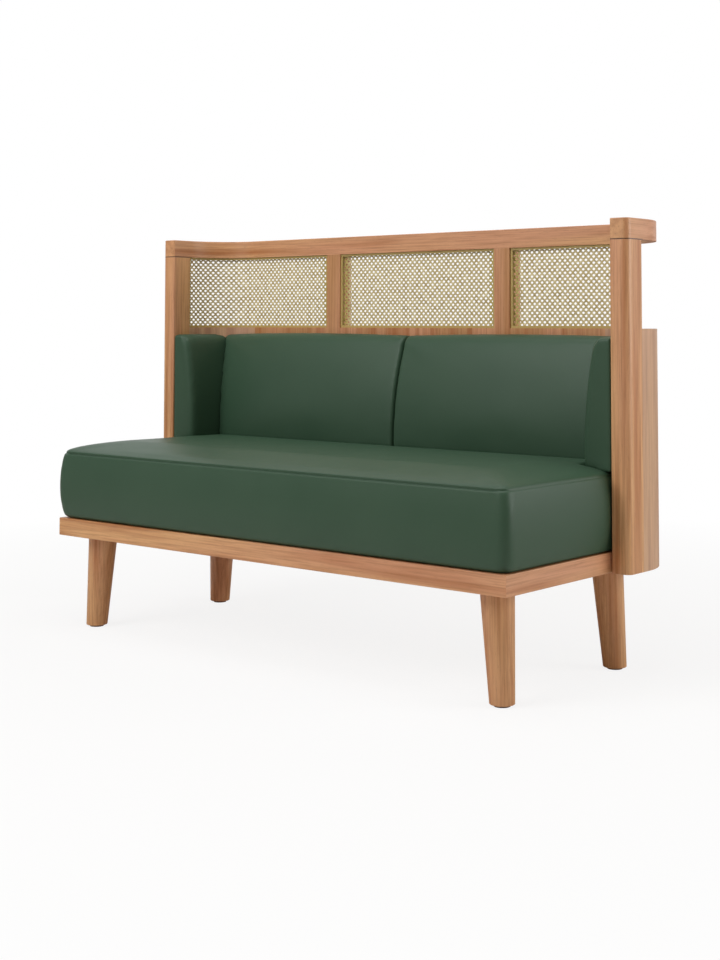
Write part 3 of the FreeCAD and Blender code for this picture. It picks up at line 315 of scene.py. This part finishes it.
def grip_tape():
    """Hook-and-loop tape, woven and brushed: black and matt, with fine loops."""
    material, tree = new_material("hook_and_loop_tape")
    # The loops are about 1 mm apart
    loops = add(tree, "TexVoronoi", {"Vector": add(tree, "TexCoord").outputs["Object"], "Scale": 900.0})
    colour = add(tree, "Mix", {"Factor": loops, "A": linear("1C1C1C"), "B": linear("34332F")},
                 data_type="RGBA")
    relief = add(tree, "Bump", {"Height": loops, "Strength": 0.4, "Distance": 0.0006})
    add(tree, "OutputMaterial", {"Surface": add(tree, "BsdfPrincipled", {
        "Base Color": colour, "Roughness": 0.85, "Normal": relief})})
    return material


def split_cane(colours, upright):
    """Rattan skin, split and woven: glossy strands with fine fibres, and painted shade beside the uprights.

    Upright is where the right one's two sides stand, in metres from the middle; the left one mirrors it.
    """
    material, tree = new_material("split_rattan_cane")
    place = add(tree, "TexCoord").outputs["Object"]
    # The tone changes from strand to strand, every 15 mm or so
    tone = add(tree, "TexNoise", {"Vector": place, "Scale": 65.0, "Detail": 2.0})
    # Fibres are 0.2 mm wide, and are drawn 0.5 mm wide so that they show
    fibre = add(tree, "TexNoise", {"Vector": place, "Scale": 1900.0, "Detail": 2.0})
    share = add(tree, "MapRange", {"Value": tone, "From Min": 0.35, "From Max": 0.65})
    colour = add(tree, "Mix", {"Factor": share, "A": colours.cane, "B": colours.cane_dark},
                 data_type="RGBA")
    dark = add(tree, "MapRange", {"Value": fibre, "From Min": 0.45, "From Max": 0.8, "To Max": 0.35})
    colour = add(tree, "Mix", {"Factor": dark, "A": colour, "B": linear("7D6A3C")}, data_type="RGBA")
    # Painted shade: over about 20 mm beside each upright the strands are darkened to olive, where they stand
    # before its shaded side
    shade_full_until, shade_gone_at = 0.016, 0.024
    inner, outer = upright
    middle, half = (inner + outer) / 2, (outer - inner) / 2
    across = add(tree, "SeparateXYZ", {"Vector": place}).outputs["X"]
    away = add(tree, "Math", {0: across}, operation="ABSOLUTE")
    away = add(tree, "Math", {0: away, 1: middle}, operation="SUBTRACT")
    away = add(tree, "Math", {0: away}, operation="ABSOLUTE")
    painted_shade = add(tree, "MapRange", {"Value": away, "From Min": half + shade_full_until,
                                    "From Max": half + shade_gone_at, "To Min": 0.95, "To Max": 0.0})
    colour = add(tree, "Mix", {"Factor": painted_shade, "A": colour, "B": linear("B5A25C")}, data_type="RGBA")
    relief = add(tree, "Bump", {"Height": fibre, "Strength": 0.15, "Distance": 0.0001})
    add(tree, "OutputMaterial", {"Surface": add(tree, "BsdfPrincipled", {
        "Base Color": colour, "Roughness": 0.42, "IOR": 1.5, "Normal": relief})})
    return material


def rattan_spline():
    """Rattan spline, soaked and pressed round the weave: olive and smooth, with long fibres."""
    material, tree = new_material("rattan_spline")
    # Fibres are 0.3 mm wide, and are drawn 1 mm wide so that they show
    fibre = add(tree, "TexNoise", {"Vector": add(tree, "TexCoord").outputs["Object"], "Scale": 900.0,
                                   "Detail": 2.0})
    share = add(tree, "MapRange", {"Value": fibre, "From Min": 0.35, "From Max": 0.7})
    colour = add(tree, "Mix", {"Factor": share, "A": linear("C4AC6C"), "B": linear("A08A4C")},
                 data_type="RGBA")
    relief = add(tree, "Bump", {"Height": fibre, "Strength": 0.15, "Distance": 0.0002})
    add(tree, "OutputMaterial", {"Surface": add(tree, "BsdfPrincipled", {
        "Base Color": colour, "Roughness": 0.45, "IOR": 1.5, "Normal": relief})})
    return material


def coated_leatherette(colours):
    """Leatherette, a coated knit embossed with small cells: a satin topcoat over fine creases."""
    material, tree = new_material("coated_leatherette")
    place = add(tree, "TexCoord").outputs["Object"]
    # The embossed cells are about 1.2 mm across
    cells = add(tree, "TexVoronoi", {"Vector": place, "Scale": 850.0, "Randomness": 0.9},
                feature="DISTANCE_TO_EDGE")
    creases = add(tree, "MapRange", {"Value": cells, "From Min": 0.0, "From Max": 0.12})
    # The tone drifts over a hand's width
    drift = add(tree, "TexNoise", {"Vector": place, "Scale": 5.0, "Detail": 3.0})
    share = add(tree, "MapRange", {"Value": drift, "From Min": 0.3, "From Max": 0.7})
    colour = add(tree, "Mix", {"Factor": share, "A": colours.leatherette, "B": colours.leatherette_light},
                 data_type="RGBA")
    shade = add(tree, "MapRange", {"Value": creases, "To Min": 0.16, "To Max": 0.0})
    colour = add(tree, "Mix", {"Factor": shade, "A": colour, "B": linear("1E2A1C")}, data_type="RGBA")
    relief = add(tree, "Bump", {"Height": creases, "Strength": 0.12, "Distance": 0.0002})
    satin = add(tree, "MapRange", {"Value": drift, "From Min": 0.3, "From Max": 0.7,
                                   "To Min": 0.4, "To Max": 0.47})
    add(tree, "OutputMaterial", {"Surface": add(tree, "BsdfPrincipled", {
        "Base Color": colour, "Roughness": satin, "IOR": 1.36, "Normal": relief})})
    return material


def cover_material():
    """The leatherette that all the covers share, made when the first of them needs it."""
    made = bpy.data.materials.get("coated_leatherette")
    return made or coated_leatherette(bpy.context.scene.bench_colours)


def dress(names, material):
    """Give carried-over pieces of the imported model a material."""
    for name in names:
        piece = NODES[name]
        if not piece.material_slots:
            piece.data.materials.append(material)
        for slot in piece.material_slots:
            slot.material = material


def only(piece):
    """Make one object the only selected and active one."""
    for other in bpy.context.selected_objects:
        other.select_set(False)
    piece.select_set(True)
    bpy.context.view_layer.objects.active = piece


def use_modifier(piece, kind, **settings):
    """Add a modifier, set it and apply it."""
    only(piece)
    modifier = piece.modifiers.new(kind.title(), kind)
    for name, value in settings.items():
        setattr(modifier, name, value)
    bpy.ops.object.modifier_apply(modifier=modifier.name)


def pick(piece, test):
    """Select the vertices of a piece whose place passes a test, in edit mode."""
    bpy.ops.object.mode_set(mode="OBJECT")
    for group in (piece.data.polygons, piece.data.edges, piece.data.vertices):
        group.foreach_set("select", [False] * len(group))
    for vertex in piece.data.vertices:
        vertex.select = test(vertex.co)
    bpy.ops.object.mode_set(mode="EDIT")
    bpy.ops.mesh.select_mode(type="VERT")


def strand(wave, rise, width, thickness):
    """One wave of a cane strand, from crest to crest along X, flat in Y, standing in Z."""
    bpy.ops.object.select_all(action="DESELECT")
    bpy.ops.mesh.primitive_grid_add(x_subdivisions=4, y_subdivisions=1, size=1, location=(0, 0, 0))
    piece = bpy.context.object
    bpy.ops.object.mode_set(mode="EDIT")
    bpy.ops.transform.resize(value=(wave, width, 1))
    bpy.ops.transform.translate(value=(wave / 2, 0, 0))
    # The grid's five columns stand a quarter of a wave apart
    for quarter, level in enumerate((1, 0, -1, 0, 1)):
        pick(piece, lambda spot: abs(spot.x - quarter * wave / 4) < wave / 16)
        bpy.ops.transform.translate(value=(0, 0, level * rise))
    bpy.ops.mesh.select_all(action="SELECT")
    bpy.ops.transform.rotate(value=math.pi / 2, orient_axis="X", center_override=(0, 0, 0))
    bpy.ops.object.mode_set(mode="OBJECT")
    use_modifier(piece, "SOLIDIFY", thickness=thickness, offset=0)
    return piece


def repeat(piece, count, offset, merge=False):
    """Repeat a mesh in a row by an offset."""
    use_modifier(piece, "ARRAY", count=count, use_relative_offset=False, use_constant_offset=True,
                 constant_offset_displace=offset, use_merge_vertices=merge, merge_threshold=SAME_POINT)


def slide(piece, offset):
    """Move a mesh inside its object."""
    only(piece)
    bpy.ops.object.mode_set(mode="EDIT")
    bpy.ops.mesh.select_all(action="SELECT")
    bpy.ops.transform.translate(value=offset)
    bpy.ops.object.mode_set(mode="OBJECT")


def turn(piece, angle, axis):
    """Turn a mesh round an axis through the origin."""
    only(piece)
    bpy.ops.object.mode_set(mode="EDIT")
    bpy.ops.mesh.select_all(action="SELECT")
    bpy.ops.transform.rotate(value=angle, orient_axis=axis, center_override=(0, 0, 0))
    bpy.ops.object.mode_set(mode="OBJECT")


def mirror(piece):
    """Swap left and right of a mesh, with its faces outward again."""
    only(piece)
    bpy.ops.object.mode_set(mode="EDIT")
    bpy.ops.mesh.select_all(action="SELECT")
    bpy.ops.transform.resize(value=(-1, 1, 1), center_override=(0, 0, 0))
    bpy.ops.mesh.normals_make_consistent(inside=False)
    bpy.ops.object.mode_set(mode="OBJECT")


def join(pieces):
    """Join meshes into the first."""
    only(pieces[0])
    for piece in pieces:
        piece.select_set(True)
    bpy.ops.object.join()
    return bpy.context.object


def slice_off(piece, place, direction, fill=True, clear=True):
    """Cut a mesh by a plane and, if asked, drop what lies beyond it."""
    only(piece)
    bpy.ops.object.mode_set(mode="EDIT")
    bpy.ops.mesh.select_all(action="SELECT")
    bpy.ops.mesh.bisect(plane_co=place, plane_no=direction, use_fill=fill, clear_outer=clear)
    bpy.ops.object.mode_set(mode="OBJECT")


def weave(name, length, height, cane):
    """A flat cane panel from the origin along X and up Z: slanting pairs with level and upright strands."""
    period = cane.period
    half = period / 2
    # Distance between neighbouring pairs, square to them, and between the two strands of a pair
    pitch = period / math.sqrt(2)
    gap = cane.thickness * 0.6
    # How far a strand rises over what it crosses, in metres
    pair_rise, single_rise = 0.00038, 0.0006
    # Each family gets a few strands more than fit, so that it reaches every corner, and is then cut
    rows = math.ceil(height / period) + 1
    columns = math.ceil(length / period) + 1
    families = []
    # Slanting pairs go over and under each other at every crossing
    for rising, rise in ((True, pair_rise), (False, -pair_rise)):
        pair = strand(2 * pitch, rise, cane.pair_width, cane.thickness)
        repeat(pair, rows + 3, (2 * pitch, 0, 0), True)
        slide(pair, (-2 * pitch, 0, -(cane.pair_width + gap) / 2))
        repeat(pair, 2, (0, 0, cane.pair_width + gap))
        turn(pair, math.pi / 4, "Y")
        slide(pair, (-(rows + 1) * period, 0, 0))
        repeat(pair, columns + rows + 3, (period, 0, 0))
        if not rising:
            mirror(pair)
            slide(pair, (columns * period, 0, 0))
        families.append(pair)
    # Level strands go over the rising pairs and under the falling ones, upright strands the other way
    for upright, rise in ((False, single_rise), (True, -single_rise)):
        single = strand(period, rise, cane.single_width, cane.thickness)
        repeat(single, (rows if upright else columns) + 2, (period, 0, 0), True)
        slide(single, (half / 2 - period, 0, half / 2))
        repeat(single, 2, (half, 0, half))
        repeat(single, (columns if upright else rows) + 1, (0, 0, period))
        slide(single, (0, 0, -period))
        if upright:
            turn(single, -math.pi / 2, "Y")
        families.append(single)
    panel = join(families)
    panel.name = panel.data.name = name
    for place, direction in (((0, 0, 0), (-1, 0, 0)), ((length, 0, 0), (1, 0, 0)),
                             ((0, 0, 0), (0, 0, -1)), ((0, 0, height), (0, 0, 1))):
        slice_off(panel, place, direction)
    return panel


def follow(piece, points):
    """Bend a flat panel along a plan line of straights and a quarter round."""
    path = bpy.data.curves.new("bend_line", "CURVE")
    path.dimensions = "2D"
    path.resolution_u = 48
    spline = path.splines.new("BEZIER")
    spline.bezier_points.add(len(points) - 1)
    for knot, (place, before, after) in zip(spline.bezier_points, points):
        knot.handle_left_type = knot.handle_right_type = "FREE"
        knot.co, knot.handle_left, knot.handle_right = [(*spot, 0) for spot in (place, before, after)]
    line = bpy.data.objects.new("bend_line", path)
    bpy.context.scene.collection.objects.link(line)
    use_modifier(piece, "CURVE", object=line, deform_axis="POS_X")
    bpy.data.objects.remove(line)


def bend_points(sign, start, line):
    """The plan line of a bent cane panel: back, quarter round and a short return behind the post."""
    # In a quarter round, the handles' length is this share of the radius
    curve = CANE_BEND * 0.5523
    begin, first = Vector((start, line)), Vector((BEND_SIDE, line))
    second, end = Vector((BEND_SIDE + CANE_BEND, BEND_BACK)), Vector((BEND_SIDE + CANE_BEND, POST_BACK))
    third = (first - begin) / 3
    knots = [(begin, begin - third, begin + third), (first, first - third, first + Vector((curve, 0))),
             (second, second + Vector((0, curve)), second + (end - second) / 3),
             (end, end - (end - second) / 3, end + (end - second) / 3)]
    return [[(spot.x * sign, spot.y) for spot in knot] for knot in knots]


def finish_piece(piece, material, node):
    """Give a piece its material, body and slot, and let it stand for its plain solid."""
    piece.data.materials.clear()
    piece.data.materials.append(material)
    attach(piece, "root")
    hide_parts(node)


def cover_blank(name, node, voxel):
    """A closed mesh over a plain soft solid, remeshed in even cells of a voxel's size, to fill and sew."""
    mesh = NODES[node].data.copy()
    piece = bpy.data.objects.new(name, mesh)
    mesh.name = name
    bpy.context.scene.collection.objects.link(piece)
    only(piece)
    bpy.ops.object.mode_set(mode="EDIT")
    bpy.ops.mesh.select_all(action="SELECT")
    bpy.ops.mesh.remove_doubles(threshold=SAME_POINT)
    bpy.ops.object.mode_set(mode="OBJECT")
    use_modifier(piece, "REMESH", mode="VOXEL", voxel_size=voxel, adaptivity=0.0)
    use_modifier(piece, "SMOOTH", factor=0.5, iterations=2)
    return piece


def shape(piece, rule):
    """Move every vertex of a piece to where a rule on its place and normal puts it."""
    before = [(vertex.co.copy(), vertex.normal.copy()) for vertex in piece.data.vertices]
    after = [value for spot, way in before for value in rule(spot, way)]
    piece.data.vertices.foreach_set("co", after)
    piece.data.update()


def fill(piece, soft, held):
    """Swell a cover under pressure, with the faces that rest on something held still."""
    last_frame = 20
    rest = [vertex.co.copy() for vertex in piece.data.vertices]
    group = piece.vertex_groups.new(name="held")
    fixed = [vertex.index for vertex in piece.data.vertices if held(vertex.co, vertex.normal)]
    group.add(fixed, 1.0, "REPLACE")
    shape(piece, lambda spot, way: spot if held(spot, way) else spot - way * soft.draw_in)
    # A stout cover that hardly stretches or folds, and no gravity, because the foam carries it
    only(piece)
    cloth = piece.modifiers.new("Cloth", "CLOTH")
    cloth.settings.quality = 4
    cloth.settings.mass = 0.3
    cloth.settings.tension_stiffness = 30
    cloth.settings.compression_stiffness = 30
    cloth.settings.shear_stiffness = 15
    cloth.settings.bending_stiffness = 10
    cloth.settings.use_pressure = True
    cloth.settings.uniform_pressure_force = soft.pressure
    cloth.settings.vertex_group_mass = "held"
    cloth.settings.effector_weights.gravity = 0
    cloth.collision_settings.use_collision = False
    cloth.point_cache.frame_start = 1
    cloth.point_cache.frame_end = last_frame
    for number in range(1, last_frame + 1):
        bpy.context.scene.frame_set(number)
    bpy.ops.object.modifier_apply(modifier="Cloth")
    bpy.context.scene.frame_set(1)
    # No point moves further than the foam would push it
    for vertex, place in zip(piece.data.vertices, rest):
        shift = vertex.co - place
        vertex.co = place + shift * min(1, soft.reach / max(shift.length, SAME_POINT))
    piece.vertex_groups.clear()
    use_modifier(piece, "SMOOTH", factor=0.5, iterations=3)


def refine(piece):
    """Divide a cover's faces once and smooth its shading."""
    use_modifier(piece, "SUBSURF", levels=1, render_levels=1)
    bpy.ops.object.shade_smooth()


def soften(piece, test, turns):
    """Smooth the part of a piece that passes a test."""
    only(piece)
    pick(piece, test)
    bpy.ops.mesh.vertices_smooth(factor=0.5, repeat=turns)
    bpy.ops.object.mode_set(mode="OBJECT")


def round_in(spot, side, front, radius):
    """Round the upright edge where a piece's outer side meets its front."""
    across, ahead = abs(spot.x) - (side - radius), front + radius - spot.y
    length = math.hypot(across, ahead)
    if across > 0 and ahead > 0 and length > radius:
        spot.x = math.copysign(side - radius + across * radius / length, spot.x)
        spot.y = front + radius - ahead * radius / length
    return spot


def sew_level_seam(piece, soft, level):
    """Pull a groove into a cushion along a level line, where two panels of its cover are sewn."""
    for height in (level - soft.seam_half_width, level, level + soft.seam_half_width):
        slice_off(piece, (0, 0, height), (0, 0, 1), fill=False, clear=False)

    def groove(spot, way):
        away = min(abs(spot.z - level) / soft.seam_half_width, 1)
        # The thread pulls less at the cushion's ends than along its front
        pull = 1 - 0.7 * abs(way.x)
        return spot - way * soft.seam_depth * (1 - away) ** 1.5 * pull

    shape(piece, groove)


class BENCH_OT_stage(bpy.types.Operator):
    """Add the floor, the white surroundings, the lights and the camera"""
    bl_idname = "bench.stage"
    bl_label = "Stage, lights and camera"

    def execute(self, context):
        scene = context.scene
        scene.view_settings.view_transform = "Standard"
        bpy.ops.object.select_all(action="DESELECT")
        bpy.ops.mesh.primitive_plane_add(size=60, location=(0, 0, 0))
        floor = context.object
        floor.name = "studio_floor"
        floor.data.materials.append(self.floor_finish())
        self.surroundings(scene)
        # Name, place, what the light faces, size in metres and power in watts
        for name, place, aim, size, power in (
                ("front_light", (-1.2, -3.4, 3.0), (0, 0, 0.45), 2.2, 90.0),
                ("side_light", (3.4, 1.6, 1.5), (0.5, 0.2, 0.5), 2.0, 58.0),
                ("top_light", (0.2, -0.7, 3.6), (0, -0.1, 0.4), 2.4, 54.0)):
            bpy.ops.object.light_add(type="AREA", location=place)
            lamp = context.object
            lamp.name = name
            lamp.data.shape = "SQUARE"
            lamp.data.size = size
            lamp.data.energy = power
            lamp.rotation_euler = (Vector(aim) - Vector(place)).to_track_quat("-Z", "Y").to_euler()
        # The camera stands where the photograph's perspective puts it, and is shifted to its frame
        data = bpy.data.cameras.new("camera")
        data.sensor_width = 36
        data.lens = 56.48
        data.shift_x = -0.0550
        data.shift_y = -0.2500
        camera = bpy.data.objects.new("camera", data)
        scene.collection.objects.link(camera)
        camera.location = (2.4499, -2.7315, 0.7726)
        camera.rotation_euler = (math.radians(93.124), 0, math.radians(39.291))
        scene.camera = camera
        return {"FINISHED"}

    def floor_finish(self):
        """White seamless paper: it keeps a soft shadow near the bench and fades to plain white."""
        material, tree = new_material("seamless_paper")
        place = add(tree, "TexCoord").outputs["Object"]
        away = add(tree, "VectorMath", {0: place}, operation="LENGTH").outputs["Value"]
        # Plain white takes over between these distances from the middle, in metres
        near, far = 0.9, 2.6
        share = add(tree, "MapRange", {"Value": away, "From Min": near, "From Max": far, "To Min": 0.86})
        rays = add(tree, "LightPath").outputs
        seen = add(tree, "Math", {0: rays["Is Camera Ray"], 1: share}, operation="MULTIPLY")
        paper = add(tree, "BsdfDiffuse", {"Color": linear("EEEEEE")})
        glow = add(tree, "Emission", {"Color": linear("FFFFFF"), "Strength": 1.0})
        add(tree, "OutputMaterial", {"Surface": add(tree, "MixShader", {0: seen, 1: paper, 2: glow})})
        return material

    def surroundings(self, scene):
        """A plain studio: white to the eye, bright in gloss, and a dim warm fill as light."""
        world = bpy.data.worlds.new("studio")
        scene.world = world
        world.use_nodes = True
        tree = world.node_tree
        tree.nodes.clear()
        rays = add(tree, "LightPath").outputs
        way = add(tree, "SeparateXYZ", {"Vector": add(tree, "TexCoord").outputs["Generated"]})
        # Glossy faces mirror the white backdrop behind the bench and the dimmer room before it
        backdrop = add(tree, "MapRange", {"Value": way.outputs["Y"], "From Min": -0.2, "From Max": 0.4,
                                          "To Min": 0.45, "To Max": 1.0})
        room = add(tree, "Background", {"Color": linear("FFE4C8"), "Strength": 0.18})
        shine = add(tree, "Background", {"Color": linear("FFFFFF"), "Strength": backdrop})
        white = add(tree, "Background", {"Color": linear("FFFFFF"), "Strength": 1.0})
        lit = add(tree, "MixShader", {0: rays["Is Glossy Ray"], 1: room, 2: shine})
        seen = add(tree, "MixShader", {0: rays["Is Camera Ray"], 1: lit, 2: white})
        add(tree, "OutputWorld", {"Surface": seen})


class BENCH_OT_timber(bpy.types.Operator):
    """Finish the wooden pieces, each with its grain along its own length"""
    bl_idname = "bench.timber"
    bl_label = "Timber and veneer"

    def execute(self, context):
        colours = context.scene.bench_colours
        # Name, way of the grain, how far the base tone goes to the dark one (painted shade on the recessed
        # pieces), share of grey as painted sheen, and the pieces
        boards = (
            ("ash_upright", "Z", 0.0, 0.0, ["left_post", "right_post", "back_studs"]),
            ("ash_outer_wall_painted_sheen", "Z", 0.0, 0.35, ["left_corner_wall", "right_corner_wall", "back_outer_skin"]),
            ("ash_upright_painted_shade", "Z", 0.45, 0.0, ["back_inner_skin", "left_mullion", "right_mullion"]),
            ("ash_turned", "Z", 0.15, 0.0, ["front_left_leg", "front_right_leg", "rear_left_leg",
                                            "rear_right_leg"]),
            ("ash_across", "X", 0.0, 0.0, ["front_rail", "rear_rail", "bottom_batten", "top_batten",
                                           "front_left_block", "front_right_block", "rear_left_block",
                                           "rear_right_block", "rail_dowels", "wall_dowels"]),
            ("ash_deep", "Y", 0.0, 0.0, ["left_rail", "right_rail", "left_bearer", "centre_bearer",
                                         "right_bearer"]),
            ("ash_bent", "bend", 0.1, 0.0, ["left_top_rail", "back_top_rail", "right_top_rail"]))
        for name, grain, depth, painted_sheen, nodes in boards:
            dress(nodes, lacquered_ash(name, grain, colours, depth, painted_sheen))
        return {"FINISHED"}


class BENCH_OT_inner_pieces(bpy.types.Operator):
    """Finish the plywood, the steel hardware, the nylon glides and the tape"""
    bl_idname = "bench.inner_pieces"
    bl_label = "Plywood and hardware"

    def execute(self, context):
        dress(["seat_deck", "seat_board", "left_back_board", "right_back_board", "left_wing_board",
               "right_wing_board"], birch_plywood())
        dress(["leg_bolts", "leg_nuts", "deck_screws", "wall_bolts"], zinc_plated_steel())
        dress(["floor_glides", "wall_spacers"], moulded_nylon())
        dress(["grip_tapes"], grip_tape())
        return {"FINISHED"}


class BENCH_OT_cane(bpy.types.Operator):
    """Weave the three cane panels and bend the outer two round the corners"""
    bl_idname = "bench.cane"
    bl_label = "Cane panels"

    def execute(self, context):
        cane = context.scene.bench_cane
        low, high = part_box("right_mullion")
        material = split_cane(context.scene.bench_colours, (low.x, high.x))
        dress(["left_cane_beads", "centre_cane_beads", "right_cane_beads"], rattan_spline())
        low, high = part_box("centre_cane_panel")
        line = (low.y + high.y) / 2
        height = high.z - low.z
        centre = weave("centre_cane_weave", high.x - low.x, height, cane)
        slide(centre, (low.x, line, low.z))
        finish_piece(centre, material, "centre_cane_panel")
        for side, sign in (("left", -1), ("right", 1)):
            low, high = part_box(f"{side}_cane_panel")
            start = min(abs(low.x), abs(high.x))
            length = BEND_SIDE - start + math.pi / 2 * CANE_BEND + BEND_BACK - low.y
            panel = weave(f"{side}_cane_weave", length, height, cane)
            follow(panel, bend_points(sign, start, line))
            slide(panel, (0, 0, low.z))
            finish_piece(panel, material, f"{side}_cane_panel")
        return {"FINISHED"}


class BENCH_OT_seat_cushion(bpy.types.Operator):
    """Make the seat cushion: a bulging border sewn to a crowned top"""
    bl_idname = "bench.seat_cushion"
    bl_label = "Seat cushion"

    # Where the border is sewn to the top, in metres above the floor
    seam_level = 0.44

    def execute(self, context):
        soft = context.scene.bench_soft
        voxel = 0.008
        seat = cover_blank("seat_cushion_cover", "seat_cushion", voxel)
        low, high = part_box("seat_cushion")
        # How far each front corner's stiff part reaches, in metres
        corner = 0.03

        def at_corner(spot):
            return abs(spot.x) > high.x - corner and spot.y < low.y + corner

        def held(spot, way):
            # Its underside and back rest on something, and the seam is sewn tight
            resting = way.z < -0.5 or way.y > 0.5
            return resting or at_corner(spot) or abs(spot.z - self.seam_level) < voxel

        fill(seat, soft, held)
        self.round_front_corners(seat, soft.seat_corner_round)
        soften(seat, at_corner, 2)
        self.round_at_posts(seat, soft)
        sew_level_seam(seat, soft, self.seam_level)
        refine(seat)
        finish_piece(seat, cover_material(), "seat_cushion")
        return {"FINISHED"}

    def round_front_corners(self, seat, radius):
        """Round the upright front corners, by where the swollen front and sides stand at each height."""
        # Height of a level, half the length of the front that counts, and where the sides that count begin
        step, front_half, side_start = 0.01, 0.6, -0.2
        fronts, sides = {}, {}
        for vertex in seat.data.vertices:
            spot, level = vertex.co, round(vertex.co.z / step)
            if abs(spot.x) < front_half:
                fronts[level] = min(fronts.get(level, 0), spot.y)
            elif spot.y > side_start:
                sides[level] = max(sides.get(level, 0), abs(spot.x))
        lowest, highest = min(sides), max(sides)

        def rounded(spot, way):
            level = min(max(math.floor(spot.z / step), lowest), highest - 1)
            share = min(max(spot.z / step - level, 0), 1)
            side, front = [reach[level] * (1 - share) + reach[level + 1] * share for reach in (sides, fronts)]
            return round_in(spot, side, front, radius)

        shape(seat, rounded)

    def round_at_posts(self, seat, soft):
        """Let the sides run in towards the wall in front of the posts."""
        radius = soft.seat_rear_round
        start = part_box("left_post")[0].y - radius
        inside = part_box("right_post")[0].x - 2 * radius

        def drawn_in(spot, way):
            # The round ends before it would turn square to the side
            beyond = min(max(spot.y - start, 0), radius * 0.8)
            share = min(max((abs(spot.x) - inside) / (2 * radius), 0), 1)
            spot.x -= math.copysign((radius - math.sqrt(radius ** 2 - beyond ** 2)) * share ** 2, spot.x)
            return spot

        shape(seat, drawn_in)


class BENCH_OT_back_cushions(bpy.types.Operator):
    """Make the two back cushions, thicker below and rolled over at the top"""
    bl_idname = "bench.back_cushions"
    bl_label = "Back cushions"

    def execute(self, context):
        soft = context.scene.bench_soft
        voxel = 0.006
        for side in ("left", "right"):
            node = f"{side}_back_cushion"
            pad = cover_blank(f"{node}_cover", node, voxel)
            # Faces that point down, back or to either end rest on something
            fill(pad, soft, lambda spot, way: way.z < -0.5 or way.y > 0.3 or abs(way.x) > 0.3)
            refine(pad)
            finish_piece(pad, cover_material(), node)
        return {"FINISHED"}


class BENCH_OT_wing_pads(bpy.types.Operator):
    """Make the pads inside both ends"""
    bl_idname = "bench.wing_pads"
    bl_label = "Wing pads"

    def execute(self, context):
        soft = context.scene.bench_soft
        voxel = 0.005
        # How far the softened front edge reaches back and outwards, in metres, and how often it is smoothed
        back, outwards, turns = 0.03, 0.045, 20
        for side, sign in (("left", -1), ("right", 1)):
            node = f"{side}_wing_pad"
            pad = cover_blank(f"{node}_cover", node, voxel)
            # Faces that point down, outwards, forwards or back rest on something
            fill(pad, soft, lambda spot, way: way.z < -0.3 or way.x * sign > 0.3 or abs(way.y) > 0.3)
            low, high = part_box(node)
            outside, inside = sorted((abs(low.x), abs(high.x)), reverse=True)
            soften(pad, lambda spot: spot.y < low.y + back and abs(spot.x) < inside + outwards, turns)
            shape(pad, lambda spot, way: round_in(spot, outside, low.y, soft.pad_edge_round))
            refine(pad)
            finish_piece(pad, cover_material(), node)
        return {"FINISHED"}


class BENCH_PT_sidebar(bpy.types.Panel):
    """Lists the bench's pieces and their settings"""
    bl_idname = "BENCH_PT_sidebar"
    bl_label = "Cane back bench"
    bl_space_type = "VIEW_3D"
    bl_region_type = "UI"
    bl_category = "Bench"

    def draw(self, context):
        for step in STEPS:
            self.layout.operator(step.bl_idname)
        for group in (context.scene.bench_colours, context.scene.bench_cane, context.scene.bench_soft):
            for name in group.__annotations__:
                self.layout.prop(group, name)


GROUPS = (BenchColours, BenchCane, BenchSoft)
STEPS = (BENCH_OT_stage, BENCH_OT_timber, BENCH_OT_inner_pieces, BENCH_OT_cane, BENCH_OT_seat_cushion,
         BENCH_OT_back_cushions, BENCH_OT_wing_pads)


def register():
    """Register the settings, the steps and the panel."""
    for item in (*GROUPS, *STEPS, BENCH_PT_sidebar):
        bpy.utils.register_class(item)
    bpy.types.Scene.bench_colours = bpy.props.PointerProperty(type=BenchColours)
    bpy.types.Scene.bench_cane = bpy.props.PointerProperty(type=BenchCane)
    bpy.types.Scene.bench_soft = bpy.props.PointerProperty(type=BenchSoft)


def unregister():
    """Remove what register added."""
    del bpy.types.Scene.bench_colours, bpy.types.Scene.bench_cane, bpy.types.Scene.bench_soft
    for item in (BENCH_PT_sidebar, *reversed(STEPS), *reversed(GROUPS)):
        bpy.utils.unregister_class(item)


def main():
    """Build the whole look."""
    register()
    bpy.ops.bench.stage()
    bpy.ops.bench.timber()
    bpy.ops.bench.inner_pieces()
    bpy.ops.bench.cane()
    bpy.ops.bench.seat_cushion()
    bpy.ops.bench.back_cushions()
    bpy.ops.bench.wing_pads()


if __name__ == "__main__":
    main()
